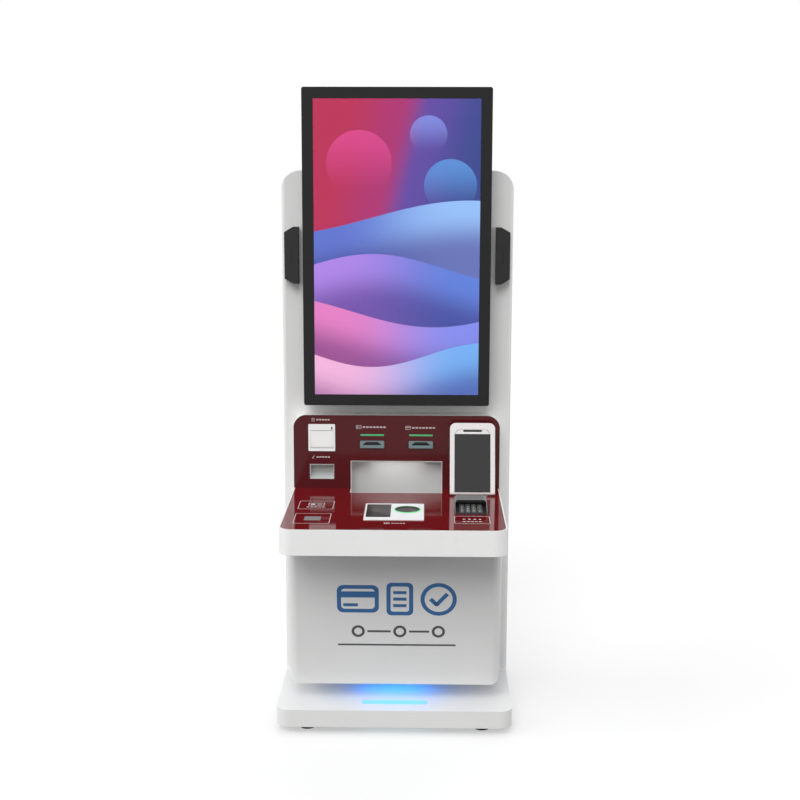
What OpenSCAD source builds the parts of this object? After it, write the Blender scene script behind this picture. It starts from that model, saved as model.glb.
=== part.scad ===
// Self-service kiosk: column, portrait display, fascia with card and paper devices, counter and cabinet.
// +Z is up, the front faces -Y, the origin is on the floor at the middle of the overall width and depth.

/* [Base] */
// Plinth's side inside the column's side
base_step = 1; // [0:0.5:8]
// How far the plinth reaches ahead of the column face
base_reach = 368; // [340:1:420]
// Height of the plinth box
base_t = 57; // [50:1:80]
// Plan radius of the plinth's front corners
base_corner_r = 40; // [20:1:60]
// Wall of the plinth
base_wall = 3; // [2:0.5:5]
// Height of the plinth above the floor
foot_h = 25; // [22:1:40]
// Diameter of a foot pad
foot_d = 50; // [40:1:70]
// Foot centre to the plinth's side
foot_inset_x = 95; // [60:1:140]
// Foot centre to the plinth's front or back
foot_inset_y = 70; // [50:1:110]
// Diameter of a foot stud
stud_d = 10; // [8:0.5:14]
// Length of stud inside the plinth
stud_in = 30; // [15:1:40]
// Length of the light bar in the plinth
bar_l = 210; // [120:1:320]
// Depth of the light bar in the plinth
bar_d = 30; // [16:1:40]
// Middle of the light bar behind the plinth's front
bar_inset = 71; // [50:1:120]

/* [Column] */
// Width of the column
column_w = 752; // [720:1:800]
// Depth of the column
column_d = 220; // [200:1:300]
// Height of the column's top above the floor
column_top = 1767; // [1740:1:1900]
// Radius of the column's top corners, seen from the front
column_corner_r = 62; // [30:1:90]
// Radius of the column's front upright edges
column_edge_r = 12; // [6:1:20]
// Thickness of the folded sheet
sheet = 2; // [1.5:0.1:3]
// How far the rear wall sits inside the column's rim
rear_recess = 8; // [8:0.5:16]
// Column's side to the service opening in its front wall
service_side = 66; // [56:1:86]
// Bottom of the service opening above the floor
service_z = 180; // [170:1:300]

/* [Rear door] */
// Column's side to the rear door
door_side = 71; // [61:1:96]
// Height of the rear door
door_h = 840; // [700:1:900]
// Bottom of the rear door above the floor
door_z = 210; // [200:1:260]
// Gap around the rear door
door_gap = 2; // [1:0.5:3]
// Depth of the door's folded edge
door_flange = 14; // [8:1:20]
// Diameter of a hinge pin
hinge_pin_d = 4; // [3:0.5:4.5]
// Diameter of a hinge knuckle
knuckle_d = 7; // [6.5:0.5:7.5]
// Length of a hinge knuckle
knuckle_l = 24; // [15:1:40]
// Hinge middle to the door's top or bottom
hinge_inset = 110; // [70:1:200]
// Diameter of the lock barrel
lock_d = 19; // [16:0.5:22]
// Lock axis to the door's free edge
lock_inset = 26; // [20:1:40]
// Reach of the lock's cam
cam_l = 42; // [36:1:50]
// Width of the lock's cam
cam_w = 14; // [10:1:16]

/* [Display] */
// Column's side to the display
display_side = 75.5; // [70:0.5:95]
// Height of the lit picture
screen_h = 941.2; // [860:0.1:960]
// Bottom of the lit picture above the floor
screen_z = 1050; // [1030:1:1100]
// Width of the bezel around the picture
bezel_w = 35.8; // [25:0.1:45]
// Depth of the bezel frame
bezel_d = 14; // [10:1:20]
// Thickness of the bezel's front lip
bezel_lip = 2.5; // [1.5:0.5:4]
// Side wall of the bezel and of the rear cover
cover_wall = 2.5; // [2:0.5:4]
// Corner radius of the display
display_corner_r = 7; // [5:0.5:12]
// Front of the display ahead of the column face
display_reach = 87; // [80:1:120]
// Thickness of the touch glass
glass_t = 4; // [3:0.5:6]
// Thickness of the LCD panel
panel_t = 14; // [10:1:20]
// Overlap of the glass behind the bezel lip
glass_lap = 12; // [8:1:16]
// Length of the standoffs to the column
standoff_l = 27; // [15:1:30]
// Diameter of a standoff
standoff_d = 34; // [20:1:50]
// Distance between the standoffs, both ways
standoff_pitch = 400; // [200:1:440]

/* [Speakers] */
// Width of a speaker pod
pod_w = 46; // [45:1:52]
// Height of a speaker pod
pod_h = 182; // [140:1:220]
// Bottom of a pod above the floor
pod_z = 1405; // [1350:1:1480]
// Width of the slanted ends
pod_slant_w = 28; // [10:1:34]
// Drop of the slanted ends
pod_slant_h = 16; // [6:1:30]
// Depth of a pod beside the display
pod_inner_d = 46; // [38:1:60]
// Depth of a pod at its outer side
pod_outer_d = 30; // [26:1:36]
// Wall of a pod
pod_wall = 3; // [2:0.5:4]
// Pod to the column's side
pod_inset = 11; // [11:1:14]
// Diameter of a speaker driver
driver_d = 38; // [28:1:39]
// Diameter of a sound hole
sound_hole_d = 3; // [2:0.5:4]
// Distance between sound holes
sound_hole_pitch = 10; // [6:1:14]

/* [Fascia] */
// Column's side to the side of the fascia and of the counter
fascia_side = 37.5; // [26:0.5:56]
// Front of the fascia ahead of the column face
fascia_reach = 59; // [56:1:80]
// Top of the fascia above the floor
fascia_top = 976; // [970:1:1005]
// Radius of the fascia's top corners
fascia_corner_r = 42; // [20:1:60]
// Thickness of the red fascia panel
fascia_t = 4; // [3:0.5:6]

/* [Receipt printer] */
// Middle of the receipt printer to the fascia's side
receipt_side = 92.9; // [68:0.1:108]
// Middle of the receipt printer above the floor
receipt_z = 901.3; // [895:0.1:915]
// Width of the printer's flange
receipt_w = 88; // [84:1:96]
// Height of the printer's flange
receipt_h = 90; // [88:1:100]
// Thickness of the flange
receipt_flange_t = 3; // [2.5:0.5:5]
// Flange overlap around the body
receipt_lap = 4; // [3:0.5:6]
// Depth of the body behind the fascia's face
receipt_d = 78; // [60:1:100]
// Wall of the printer body
receipt_wall = 2.5; // [2.5:0.5:3]
// Height of the paper slit above the printer's middle
slit_z = 23.3; // [18:0.1:24]
// Height of the paper slit
slit_h = 1.6; // [1.2:0.1:2.5]
// Radius of the lid's hinge barrel
lid_barrel_r = 6; // [5:0.5:7]
// Diameter of the lid's hinge stubs
lid_stub_d = 3; // [2.5:0.5:4]
// Diameter of the platen roller
roller_d = 9.6; // [8:0.1:11]
// Diameter of the platen roller's shaft
roller_shaft_d = 4; // [3:0.5:5]
// Width of the release button
release_w = 4; // [3:0.5:5]
// Height of the release button
release_h = 8; // [6:0.5:9]
// How far the release button presses in
release_travel = 2; // [1:0.5:3]

/* [Slip outlet] */
// Width of the outlet
slip_w = 80; // [70:1:86]
// Height of the outlet
slip_h = 50; // [44:1:56]
// Middle of the outlet above the floor
slip_z = 787; // [782:1:800]
// Depth of the outlet's pocket
slip_d = 36; // [28:1:40]
// Wall of the outlet
slip_wall = 2; // [1.5:0.5:3]

/* [Card readers] */
// Middle of a card reader from the centre plane
card_x = 80; // [70:1:100]
// Middle of the card slots above the floor
card_z = 880; // [875:1:890]
// Width of a card bezel
card_w = 79; // [72:1:90]
// Height of a card bezel
card_h = 23.5; // [22:0.1:28]
// How far a card bezel stands out
card_bezel_t = 8; // [5:1:12]
// Width of a card slot
card_slot_w = 58; // [56:0.5:62]
// Height of a card slot's mouth
card_slot_h = 5; // [4.5:0.5:7]
// Length of a card reader mechanism
reader_l = 100; // [80:1:120]
// Width of a card reader mechanism
reader_w = 92; // [84:1:110]
// Height of a card reader mechanism
reader_h = 38; // [30:1:40]
// Middle of the light bars above the floor
light_z = 910.5; // [906:0.1:920]
// Length of a light bar
light_l = 77; // [60:1:90]
// Height of a light bar
light_h = 5.5; // [5:0.5:10]

/* [Document outlet] */
// Clear width of the document niche
niche_w = 298; // [298:1:320]
// Top of the niche above the floor
niche_top = 822; // [810:1:840]
// Front of the niche ahead of the column face
niche_reach = 123; // [105:1:140]
// Back of the niche ahead of the column face
niche_back = 12; // [11:1:20]
// Bottom of the niche's pocket below the counter
niche_drop = 68; // [40:1:70]
// Sheet of the niche
niche_wall = 1.5; // [1:0.1:2]
// Length of the light in the niche's ceiling
niche_light_l = 200; // [120:1:280]
// Depth of the light in the niche's ceiling
niche_light_d = 12; // [6:1:20]
// Height of the light in the niche's ceiling
niche_light_h = 2.5; // [2:0.5:4]
// Width of the document printer
printer_w = 380; // [360:1:420]
// Depth of the document printer
printer_d = 290; // [280:1:300]
// Height of the document printer
printer_h = 250; // [200:1:290]
// Clear depth of the paper chute
chute_d = 8; // [6:0.5:10]
// Clear width of the paper cassette
cassette_w = 302; // [299:1:310]
// Clear depth of the paper cassette
cassette_d = 216; // [212:1:230]
// Height of the paper cassette
cassette_h = 52; // [40:1:60]
// How far the paper cassette slides out
cassette_travel = 150; // [100:1:170]

/* [Counter] */
// Counter surface above the floor
counter_z = 732; // [720:1:745]
// Front of the counter ahead of the column face
counter_reach = 590; // [560:1:640]
// Height of the counter's apron
counter_h = 79; // [76:1:100]
// Plan radius of the counter's front corners
counter_corner_r = 40; // [20:1:60]
// Width of the white lip around the red top
counter_lip = 4; // [3:0.5:8]
// Thickness of the red counter top
top_t = 4; // [3:0.5:6]

/* [Scanner] */
// Width of the scanner plate
scan_w = 183; // [170:1:200]
// Depth of the scanner plate
scan_d = 196; // [180:1:210]
// Middle of the scanner plate ahead of the column face
scan_reach = 375; // [360:1:400]
// Thickness of the scanner plate
scan_t = 2.5; // [2:0.5:4]
// Depth of the scanner box under the counter
scan_box_h = 45; // [30:1:55]
// Width of the card window
window_w = 75; // [60:1:78]
// Depth of the card window
window_d = 158; // [120:1:164]
// Gap from the plate's edge to the card window
window_inset = 5.5; // [4:0.5:8]
// Outer diameter of the ring light
ring_d = 82; // [70:1:84]
// Radial width of the ring light
ring_band = 5; // [3:0.5:8]
// How far the ring light stands above the plate
ring_proud = 2; // [1:0.5:4]

/* [PIN pad] */
// Middle of the PIN pad to the counter's side
pin_side = 102.5; // [78:0.5:108]
// Front of the PIN pad body ahead of the column face
pin_reach = 397; // [390:1:410]
// Width of the PIN pad body
pin_w = 91; // [84:1:92]
// Depth of the PIN pad body
pin_d = 97; // [94:1:98]
// Height of the body's front edge above the counter
pin_front_h = 4; // [2:0.5:8]
// Depth of the body below the counter
pin_drop = 30; // [24:1:45]
// Slope of the key field
pin_tilt = 5; // [0:1:8]
// Side of a key
key_side = 15; // [13:0.5:16]
// Distance between keys
key_pitch = 18.3; // [17.5:0.1:20]
// How far a key stands above the key field
key_proud = 3.5; // [2.5:0.5:5]
// How far a key presses in
key_travel = 1.8; // [1:0.1:2.2]
// Height of a key's shaft below the key field
key_stem = 7; // [5:0.5:10]
// Outer width of the privacy hood
hood_w = 100; // [99:1:108]
// Height of the privacy hood
hood_h = 36; // [30:1:45]
// Front of the hood's roof ahead of the column face
hood_roof_reach = 346; // [340:1:370]
// Back of the hood ahead of the column face
hood_back_reach = 294; // [280:1:294]
// Height of the hood's cheeks at the front
hood_cheek_h = 8; // [5:1:14]
// Sheet of the hood
hood_wall = 2; // [1.5:0.1:2]
// Inner radius of the hood's upper corners
hood_corner_r = 9; // [5:1:12]

/* [Face terminal] */
// Middle of the terminal to the counter's side
term_side = 91.1; // [82:0.1:98]
// Width of the terminal
term_w = 146; // [136:1:156]
// Top of the terminal above its tilt pin, along its slope
term_h = 226; // [215:1:235]
// Thickness of the terminal
term_t = 14; // [12:1:18]
// Radius of the terminal's top corners
term_corner_r = 19; // [8:1:24]
// Lean of the terminal at rest
term_lean = 15; // [12:1:17]
// Tilt pin ahead of the column face
term_reach = 154.6; // [150:0.1:170]
// Width of the terminal's screen
term_screen_w = 116; // [100:1:124]
// Height of the terminal's screen
term_screen_h = 189; // [170:1:192]
// Screen's lower edge above the tilt pin
term_margin = 1; // [0.5:0.5:8]
// Width of the camera window
camera_w = 60; // [40:1:70]
// Height of the camera window
camera_h = 6.5; // [5:0.5:8]
// Diameter of the tilt pin
tilt_pin_d = 5; // [4:0.5:5.5]
// Tilt pin above the counter
tilt_pin_h = 9; // [8.5:0.5:12]
// Distance between the ears of the terminal's stand
ear_pitch = 90; // [60:1:100]

/* [Cabinet] */
// Cabinet's side inside the fascia's side
cabinet_step = 2.5; // [0.5:0.5:18]
// Bottom of the cabinet above the plinth
cabinet_gap = 60; // [45:1:80]
// Cabinet front at its bottom ahead of the column face
cabinet_foot_reach = 292; // [285:1:300]
// Cabinet front at its top ahead of the column face
cabinet_head_reach = 376; // [360:1:400]
// Radius of the cabinet's front upright edges
cabinet_edge_r = 30; // [15:1:40]
// Radius of the cabinet's bottom corners, seen from the front
cabinet_corner_r = 28; // [15:1:40]
// Printer shelf above the cabinet's bottom
shelf_rise = 190; // [150:1:220]
// Shelf's front edge behind the foot of the cabinet's front
shelf_gap = 10; // [5:1:40]
// Length of the light strip under the cabinet
strip_l = 250; // [120:1:300]
// Depth of the light strip under the cabinet
strip_d = 60; // [10:1:80]
// Height of the light strip
strip_h = 8; // [5:1:14]
// Middle of the light strip ahead of the column face
strip_reach = 187; // [150:1:250]

/* [Electronics] */
// Width of the computer
computer_w = 260; // [200:1:320]
// Height of the computer
computer_h = 220; // [160:1:260]
// Depth of the computer
computer_d = 60; // [45:1:80]
// Bottom of the computer above the floor
computer_z = 1150; // [1120:1:1200]
// Width of the power supply
supply_w = 150; // [140:1:170]
// Height of the power supply
supply_h = 86; // [76:1:92]
// Depth of the power supply
supply_d = 120; // [90:1:150]
// Rise of the power supply above the plinth
supply_rise = 18; // [14:1:22]
// Side of the fan frame
fan_side = 120; // [92:1:140]
// Depth of the fan frame
fan_d = 25; // [20:1:38]
// Middle of the fan above the floor
fan_z = 1600; // [1560:1:1640]
// Diameter of the fan hub
fan_hub_d = 38; // [30:1:44]
// Diameter of the fan shaft
fan_shaft_d = 4; // [3:0.5:6]
// Diameter of a screw's shank
screw_d = 4; // [3:0.5:5]
// Diameter of a screw's head
screw_head_d = 8; // [7:0.5:10]

/* [Fits] */
// Radial clearance of a turning pin
run_fit = 0.05; // [0.02:0.01:0.1]
// Clearance of a piece that drops into an opening
drop_fit = 0.4; // [0.3:0.1:0.8]
// Clearance around a sliding button or key
slide_fit = 0.3; // [0.2:0.05:0.5]

/* [Hidden] */
$fn = 48;
eps = 1;
key_rows = 4;
key_columns = 4;
key_count = key_rows * key_columns;
key_names = [for (i = [1:key_count]) str("pin_key_", i)];

// Overall depth, and where the column face lies from the origin
overall_d = counter_reach + column_d;
face_y = counter_reach - overall_d / 2;

// Plinth
base_top = foot_h + base_t;
base_d = base_reach + column_d;
boss_wall = 7;
boss_d = stud_d + 2 * boss_wall;
pad_t = 6;
pad_cone_t = 6;
nut_t = 8;
bar_reach = base_reach - bar_inset;
bar_corner_r = 8;
bar_proud = 0.5;
bar_flange = 5;
bar_flange_t = 4;

// Widths that follow the column
base_w = column_w - 2 * base_step;
service_w = column_w - 2 * service_side;
door_w = column_w - 2 * door_side;
display_w = column_w - 2 * display_side;
screen_w = display_w - 2 * bezel_w;
fascia_w = column_w - 2 * fascia_side;
cabinet_w = fascia_w - 2 * cabinet_step;
receipt_x = fascia_w / 2 - receipt_side;
pin_x = fascia_w / 2 - pin_side;
term_x = fascia_w / 2 - term_side;

// Column and rear wall
rear_out_y = column_d - rear_recess;
rear_in_y = rear_out_y - sheet;
service_margin = 8;
louvre_w = 260;
louvre_h = 6;
louvre_pitch = 22;
louvre_count = 6;
louvre_z = door_z + door_h + 100;

// Rear door
door_x = door_w / 2;
hinge_x = -door_x - door_gap / 2;
hinge_y = column_d - rear_recess / 2;
hinge_mids = [door_z + hinge_inset, door_z + door_h - hinge_inset];
knuckle_gap = 0.5;
leaf_w = 14;
leaf_t = 1.5;
lock_x = door_x - lock_inset;
lock_z = door_z + door_h / 2;
lock_head_d = lock_d + 5;
lock_head_t = 3;
lock_seat_gap = 0.3;
cam_t = 2.5;
cam_gap = 0.5;
key_slot_l = 9;
key_slot_w = 2;

// Display
display_h = screen_h + 2 * bezel_w;
display_z = screen_z - bezel_w;
display_mid_z = screen_z + screen_h / 2;
glass_front_y = -display_reach + bezel_lip;
panel_front_y = glass_front_y + glass_t;
cover_front_y = -display_reach + bezel_d;
cover_back_y = -standoff_l;
post_d = 14;
cover_slot_w = 240;
cover_slot_h = 5;
cover_slot_pitch = 16;
cover_slot_count = 5;
cover_slot_drop = 60;

// Speaker pods
pod_outer_x = column_w / 2 - pod_inset;
pod_mid_x = pod_outer_x - pod_w / 2;
pod_mid_z = pod_z + pod_h / 2;
pod_cavity_d = pod_outer_d - pod_wall;
sound_hole_count = 5;
driver_flange_t = 2;
driver_cone_h = 10;
driver_cone_d = driver_d - 2;
driver_magnet_d = driver_d - 12;

// Fascia, measured from the fascia's face where a device is set into it
fascia_y = -fascia_reach;
deck_z = counter_z - top_t;
housing_y = fascia_y + fascia_t;
fascia_h = fascia_top - deck_z;
device_back = fascia_t + sheet;

// Receipt printer
receipt_body_w = receipt_w - 2 * receipt_lap;
receipt_body_h = receipt_h - 2 * receipt_lap;
service_top = receipt_z + receipt_body_h / 2 + service_margin;
receipt_in_w = receipt_body_w - 2 * receipt_wall;
receipt_in_h = receipt_body_h - 2 * receipt_wall;
receipt_face_t = 2;
lid_gap = 0.5;
lid_w = receipt_in_w - 2 * lid_gap;
lid_sill = 2.5;
lid_bottom = lid_sill - receipt_in_h / 2;
lid_axis_y = lid_barrel_r - receipt_flange_t;
lid_axis_z = lid_bottom + lid_gap + lid_barrel_r;
lid_top = slit_z - slit_h / 2;
stub_in = 2;
ear_t = 3;
ear_d = 12;
ear_h = 12;
roller_y = 7;
roller_z = lid_top - ear_h / 2;
ear_gap = 0.5;
release_inset = 2.5;
release_x = receipt_in_w / 2 - release_w / 2 - release_inset;
release_z = receipt_in_h / 2 - release_h / 2 - release_inset;
release_rim = 1.2;
release_rim_t = 2;
release_proud = 1;

// Slip outlet
slip_collar = 5;
slip_collar_t = 2;
slip_slot_w = 62;
slip_slot_h = 5;
slip_floor_drop = 16;

// Card readers
card_corner_r = 3;
nose_w = card_w - 9;
nose_h = card_h - 7;
thumb_w = 56;
thumb_top_w = 37;
thumb_d = 4;
thumb_margin = 2.5;
throat_h = 3;
throat_margin = 12;
light_corner_r = 2;
light_proud = 0.5;

// Document outlet
niche_out_w = niche_w + 2 * niche_wall;
niche_out_front = -niche_reach - niche_wall;
niche_out_back = -niche_back + niche_wall;
niche_floor = counter_z - niche_drop;
niche_cut_w = niche_out_w + 2 * drop_fit;
exit_h = 9;
shelf_z = base_top + cabinet_gap + shelf_rise;
printer_wall = 3;
printer_back = 30;
printer_z = shelf_z;
chute_wall = 1.5;
chute_in_w = niche_w;
chute_cut_w = chute_in_w + 2 * chute_wall + 2 * drop_fit;
chute_front_y = niche_out_back + drop_fit;
cassette_wall = 3;
cassette_out_w = cassette_w + 2 * cassette_wall;
cassette_out_d = cassette_d + 2 * cassette_wall;
cassette_lift = 0.3;
cassette_handle_w = 100;
cassette_handle_h = 14;
cassette_handle_z = 28;
bay_w = cassette_out_w + 2 * slide_fit;
bay_h = cassette_h + 2 * cassette_lift;

// Counter
tray_bottom = counter_z - counter_h;
tray_cut_w = 560;
tray_cut_front = 340;
tray_cut_back = 30;
scan_box_w = scan_w - 8;
scan_box_d = scan_d - 8;
window_x = -scan_w / 2 + window_inset + window_w / 2;
window_y = 9;
ring_x = scan_w / 2 - window_inset - ring_d / 2 - 5;
ring_y = 21;
scan_wall = 2.5;
scan_glass_t = 2;
scan_ledge = 3;
scan_floor_t = 3;
lens_d = ring_d - 2 * ring_band;

// PIN pad
pin_flange = 1.5;
pin_flange_t = 1.5;
pin_top_back = pin_front_h + pin_d * tan(pin_tilt);
key_field_w = (key_columns - 1) * key_pitch;
key_field_d = (key_rows - 1) * key_pitch;
key_corner_r = 2;
key_dish_r = 40;
key_dish = 0.8;
well_floor = 0.5;
key_shift = 6;
key_front = (pin_d - key_field_d) / 2 - key_shift;
hood_back_y = -hood_back_reach;
hood_front_y = -pin_reach - hood_wall;

// Face terminal, measured from its tilt pin
term_front = -term_t / 2;
term_glass_t = 1.2;
brow_side = 11;
brow_h = 14;
brow_d = 1;
camera_rise = 7;
ear_w = 8;
pin_in = 6;
ear_gap_x = 0.4;
bracket_foot_w = 120;
bracket_foot_d = 56;
bracket_foot_gap = 10;
bracket_foot_t = 4;
bracket_ear_d = tilt_pin_d + 4;
bracket_gap = 0.5;
notch_r = bracket_ear_d / 2 + bracket_gap;
bracket_mid = bracket_foot_gap + bracket_foot_d / 2;

// Cabinet
cabinet_bottom = base_top + cabinet_gap;
cabinet_h = tray_bottom - cabinet_bottom;
cabinet_lean = atan((cabinet_head_reach - cabinet_foot_reach) / cabinet_h);
cabinet_flange = 30;
shelf_front_y = shelf_gap - cabinet_foot_reach;

// Electronics
fin_count = 12;
fin_t = 3;
fin_d = 16;
case_wall = 2;
port_w = 120;
port_d = 24;
port_inset = 14;
inlet_w = 27;
inlet_h = 20;
inlet_d = 18;
inlet_wall = 2;
inlet_x = -28;
blade_w = 2;
blade_h = 5;
blade_l = 11;
blade_pitch = 7;
switch_x = 34;
switch_w = 13;
switch_h = 20;
switch_throw = 12;
switch_pin_d = 3;
switch_in = 4;
switch_proud = 1.5;
switch_dip = 2;
switch_edge = 1;
switch_tail = 4;
switch_tail_h = 10;
switch_front = switch_in + sheet + switch_proud;
supply_face_w = supply_w - 16;
supply_face_h = supply_h - 16;
supply_z = base_top + supply_rise;
supply_mid_z = supply_z + supply_h / 2;
fan_bore_d = fan_side - 6;
fan_guard_bar = 4;
fan_guard_pitch = 12;
fan_web_t = 4;
fan_spoke_w = 6;
fan_screw_inset = 8;
fan_screw_x = fan_side / 2 - fan_screw_inset;
fan_tip_gap = 2;
fan_blade_count = 7;
fan_blade_t = 2.5;
fan_blade_pitch = 35;
fan_blade_chord = 21;
fan_blade_root = 2;
rotor_gap = 0.4;
rotor_t = 15;
screw_head_t = 2.4;
screw_l = 9;
screw_hole_d = screw_d + 2 * drop_fit;
supply_screw_x = supply_w / 2 - 4;
supply_screw_z = supply_h / 2 - 4;
term_screw_x = bracket_foot_w / 2 - 12;
term_screw_y = bracket_foot_d / 2 - 12;

// Plane outline with four round corners, about its middle
module rounded(w, h, r) {
  square([w - 2 * r, h], center = true);
  square([w, h - 2 * r], center = true);
  for (sx = [-1, 1], sy = [-1, 1])
    translate([sx * (w / 2 - r), sy * (h / 2 - r)])
      circle(r);
}

// Plan outline from y = -d to y = 0 with round front corners
module front_rounded(w, d, r) {
  translate([-w / 2, r - d])
    square([w, d - r]);
  translate([r - w / 2, -d])
    square([w - 2 * r, d]);
  for (s = [-1, 1])
    translate([s * (w / 2 - r), r - d])
      circle(r);
}

// Front outline from y = 0 to y = h with round upper corners
module top_rounded(w, h, r) {
  mirror([0, 1])
    front_rounded(w, h, r);
}

// Extrudes a front outline (x, z) from y0 to y1
module along_y(y0, y1) {
  translate([0, y1, 0])
    rotate([90, 0, 0])
      linear_extrude(y1 - y0)
        children();
}

// Extrudes a side outline (y, z) from x0 to x1
module along_x(x0, x1) {
  translate([x0, 0, 0])
    rotate([90, 0, 90])
      linear_extrude(x1 - x0)
        children();
}

// Box between two corners
module block(low, high) {
  translate(low)
    cube(high - low);
}

// Rod along x about its middle
module rod_x(d, l) {
  rotate([0, 90, 0])
    cylinder(d = d, h = l, center = true);
}

// Places a child at the four feet
module at_feet() {
  for (sx = [-1, 1], y = [foot_inset_y - base_reach, column_d - foot_inset_y])
    translate([sx * (base_w / 2 - foot_inset_x), y, 0])
      children();
}

// Outline of the light bar in the plinth
module bar_outline(grow) {
  rounded(bar_l + 2 * grow, bar_d + 2 * grow, bar_corner_r + grow);
}

module base_plinth() {
  color("white")
    difference() {
      union() {
        difference() {
          translate([0, column_d, foot_h])
            linear_extrude(base_t)
              front_rounded(base_w, base_d, base_corner_r);
          translate([0, column_d - base_wall, foot_h - eps])
            linear_extrude(base_t - base_wall + eps)
              front_rounded(base_w - 2 * base_wall, base_d - 2 * base_wall, base_corner_r - base_wall);
        }
        at_feet()
          translate([0, 0, foot_h])
            cylinder(d = boss_d, h = base_t - base_wall / 2);
      }
      at_feet()
        translate([0, 0, foot_h - eps])
          cylinder(d = stud_d + 2 * run_fit, h = stud_in + 2 * eps);
      translate([0, -bar_reach, foot_h + base_t / 2])
        linear_extrude(base_t)
          bar_outline(drop_fit / 2);
    }
}

module levelling_feet() {
  color("dimgray")
    at_feet() {
      cylinder(d = foot_d, h = pad_t);
      translate([0, 0, pad_t])
        cylinder(d1 = foot_d, d2 = boss_d, h = pad_cone_t);
      cylinder(d = stud_d, h = foot_h + stud_in);
      translate([0, 0, foot_h - nut_t])
        cylinder(d = boss_d, h = nut_t, $fn = 6);
    }
}

module light_bars() {
  color("paleturquoise") {
    translate([0, -bar_reach, base_top - base_wall])
      linear_extrude(base_wall + bar_proud)
        bar_outline(0);
    translate([0, -bar_reach, base_top - base_wall - bar_flange_t])
      linear_extrude(bar_flange_t)
        bar_outline(bar_flange);
    translate([0, -strip_reach, cabinet_bottom - strip_h])
      linear_extrude(strip_h)
        rounded(strip_l, strip_d, bar_corner_r);
    translate([0, fascia_y + niche_light_d, niche_top - niche_light_h])
      linear_extrude(niche_light_h)
        rounded(niche_light_l, niche_light_d, niche_light_d / 4);
  }
}

// Solid inside of the column, seen from the front, between two depths
module column_core(inset, y0, y1) {
  along_y(y0, y1)
    translate([0, base_top - eps])
      top_rounded(column_w - 2 * inset, column_top - base_top - inset + eps, column_corner_r - inset);
}

// Leaf and knuckle of a rear hinge from z0 to z1, with its leaf on the side s
module hinge_leaf(z0, z1, s) {
  translate([hinge_x, hinge_y, z0])
    cylinder(d = knuckle_d, h = z1 - z0);
  block(
    [min(s * leaf_w, 0) + hinge_x, rear_out_y, z0],
    [max(s * leaf_w, 0) + hinge_x, rear_out_y + leaf_t, z1]
  );
  block(
    [min(s * knuckle_d / 2, 0) + hinge_x, rear_out_y, z0],
    [max(s * knuckle_d / 2, 0) + hinge_x, hinge_y, z1]
  );
}

// Bores of the rear hinges
module hinge_bores() {
  for (z = hinge_mids)
    translate([hinge_x, hinge_y, z])
      cylinder(d = hinge_pin_d + 2 * run_fit, h = 4 * knuckle_l, center = true);
}

// Slots of the fan guard in the rear wall
module fan_guard() {
  intersection() {
    circle(d = fan_bore_d);
    for (z = [-fan_side / 2 : fan_guard_pitch : fan_side / 2])
      translate([-fan_side / 2, z])
        square([fan_side, fan_guard_pitch - fan_guard_bar]);
  }
}

module column_shell() {
  color("whitesmoke")
    difference() {
      union() {
        difference() {
          intersection() {
            column_core(0, 0, column_d);
            translate([0, column_d, base_top])
              linear_extrude(column_top)
                front_rounded(column_w, column_d, column_edge_r);
          }
          intersection() {
            column_core(sheet, sheet, rear_in_y);
            translate([0, column_d, 0])
              linear_extrude(column_top)
                front_rounded(column_w - 2 * sheet, column_d - sheet, column_edge_r - sheet);
          }
          column_core(sheet, rear_out_y, column_d + eps);
          block([-service_w / 2, -eps, service_z], [service_w / 2, sheet + eps, service_top]);
          block(
            [-door_x - door_gap, rear_in_y - eps, door_z - door_gap],
            [door_x + door_gap, rear_out_y + eps, door_z + door_h + door_gap]
          );
          translate([0, 0, supply_mid_z])
            along_y(rear_in_y - eps, rear_out_y + eps)
              square([supply_face_w + 2 * drop_fit, supply_face_h + 2 * drop_fit], center = true);
          translate([0, 0, fan_z])
            along_y(rear_in_y - eps, rear_out_y + eps)
              fan_guard();
          for (i = [0 : louvre_count - 1])
            translate([0, 0, louvre_z + i * louvre_pitch])
              along_y(rear_in_y - eps, rear_out_y + eps)
                square([louvre_w, louvre_h], center = true);
          wall_screw_holes();
        }
        for (z = hinge_mids) {
          hinge_leaf(z - 1.5 * knuckle_l, z - knuckle_l / 2 - knuckle_gap, -1);
          hinge_leaf(z + knuckle_l / 2 + knuckle_gap, z + 1.5 * knuckle_l, -1);
        }
      }
      hinge_bores();
    }
}

module rear_hinge_pins() {
  color("silver")
    for (z = hinge_mids)
      translate([hinge_x, hinge_y, z])
        cylinder(d = hinge_pin_d, h = 3 * knuckle_l, center = true);
}

module rear_door() {
  color("whitesmoke")
    difference() {
      union() {
        difference() {
          block([-door_x, rear_out_y - door_flange, door_z], [door_x, rear_out_y, door_z + door_h]);
          block(
            [-door_x + sheet, rear_out_y - door_flange - eps, door_z + sheet],
            [door_x - sheet, rear_in_y, door_z + door_h - sheet]
          );
          block(
            [lock_x, rear_out_y - door_flange - eps, lock_z - cam_l],
            [door_x + eps, rear_in_y, lock_z + cam_w]
          );
        }
        for (z = hinge_mids)
          hinge_leaf(z - knuckle_l / 2, z + knuckle_l / 2, 1);
      }
      hinge_bores();
      translate([lock_x, rear_out_y + eps, lock_z])
        rotate([90, 0, 0])
          cylinder(d = lock_d + 2 * run_fit, h = sheet + 2 * eps);
    }
}

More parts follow.
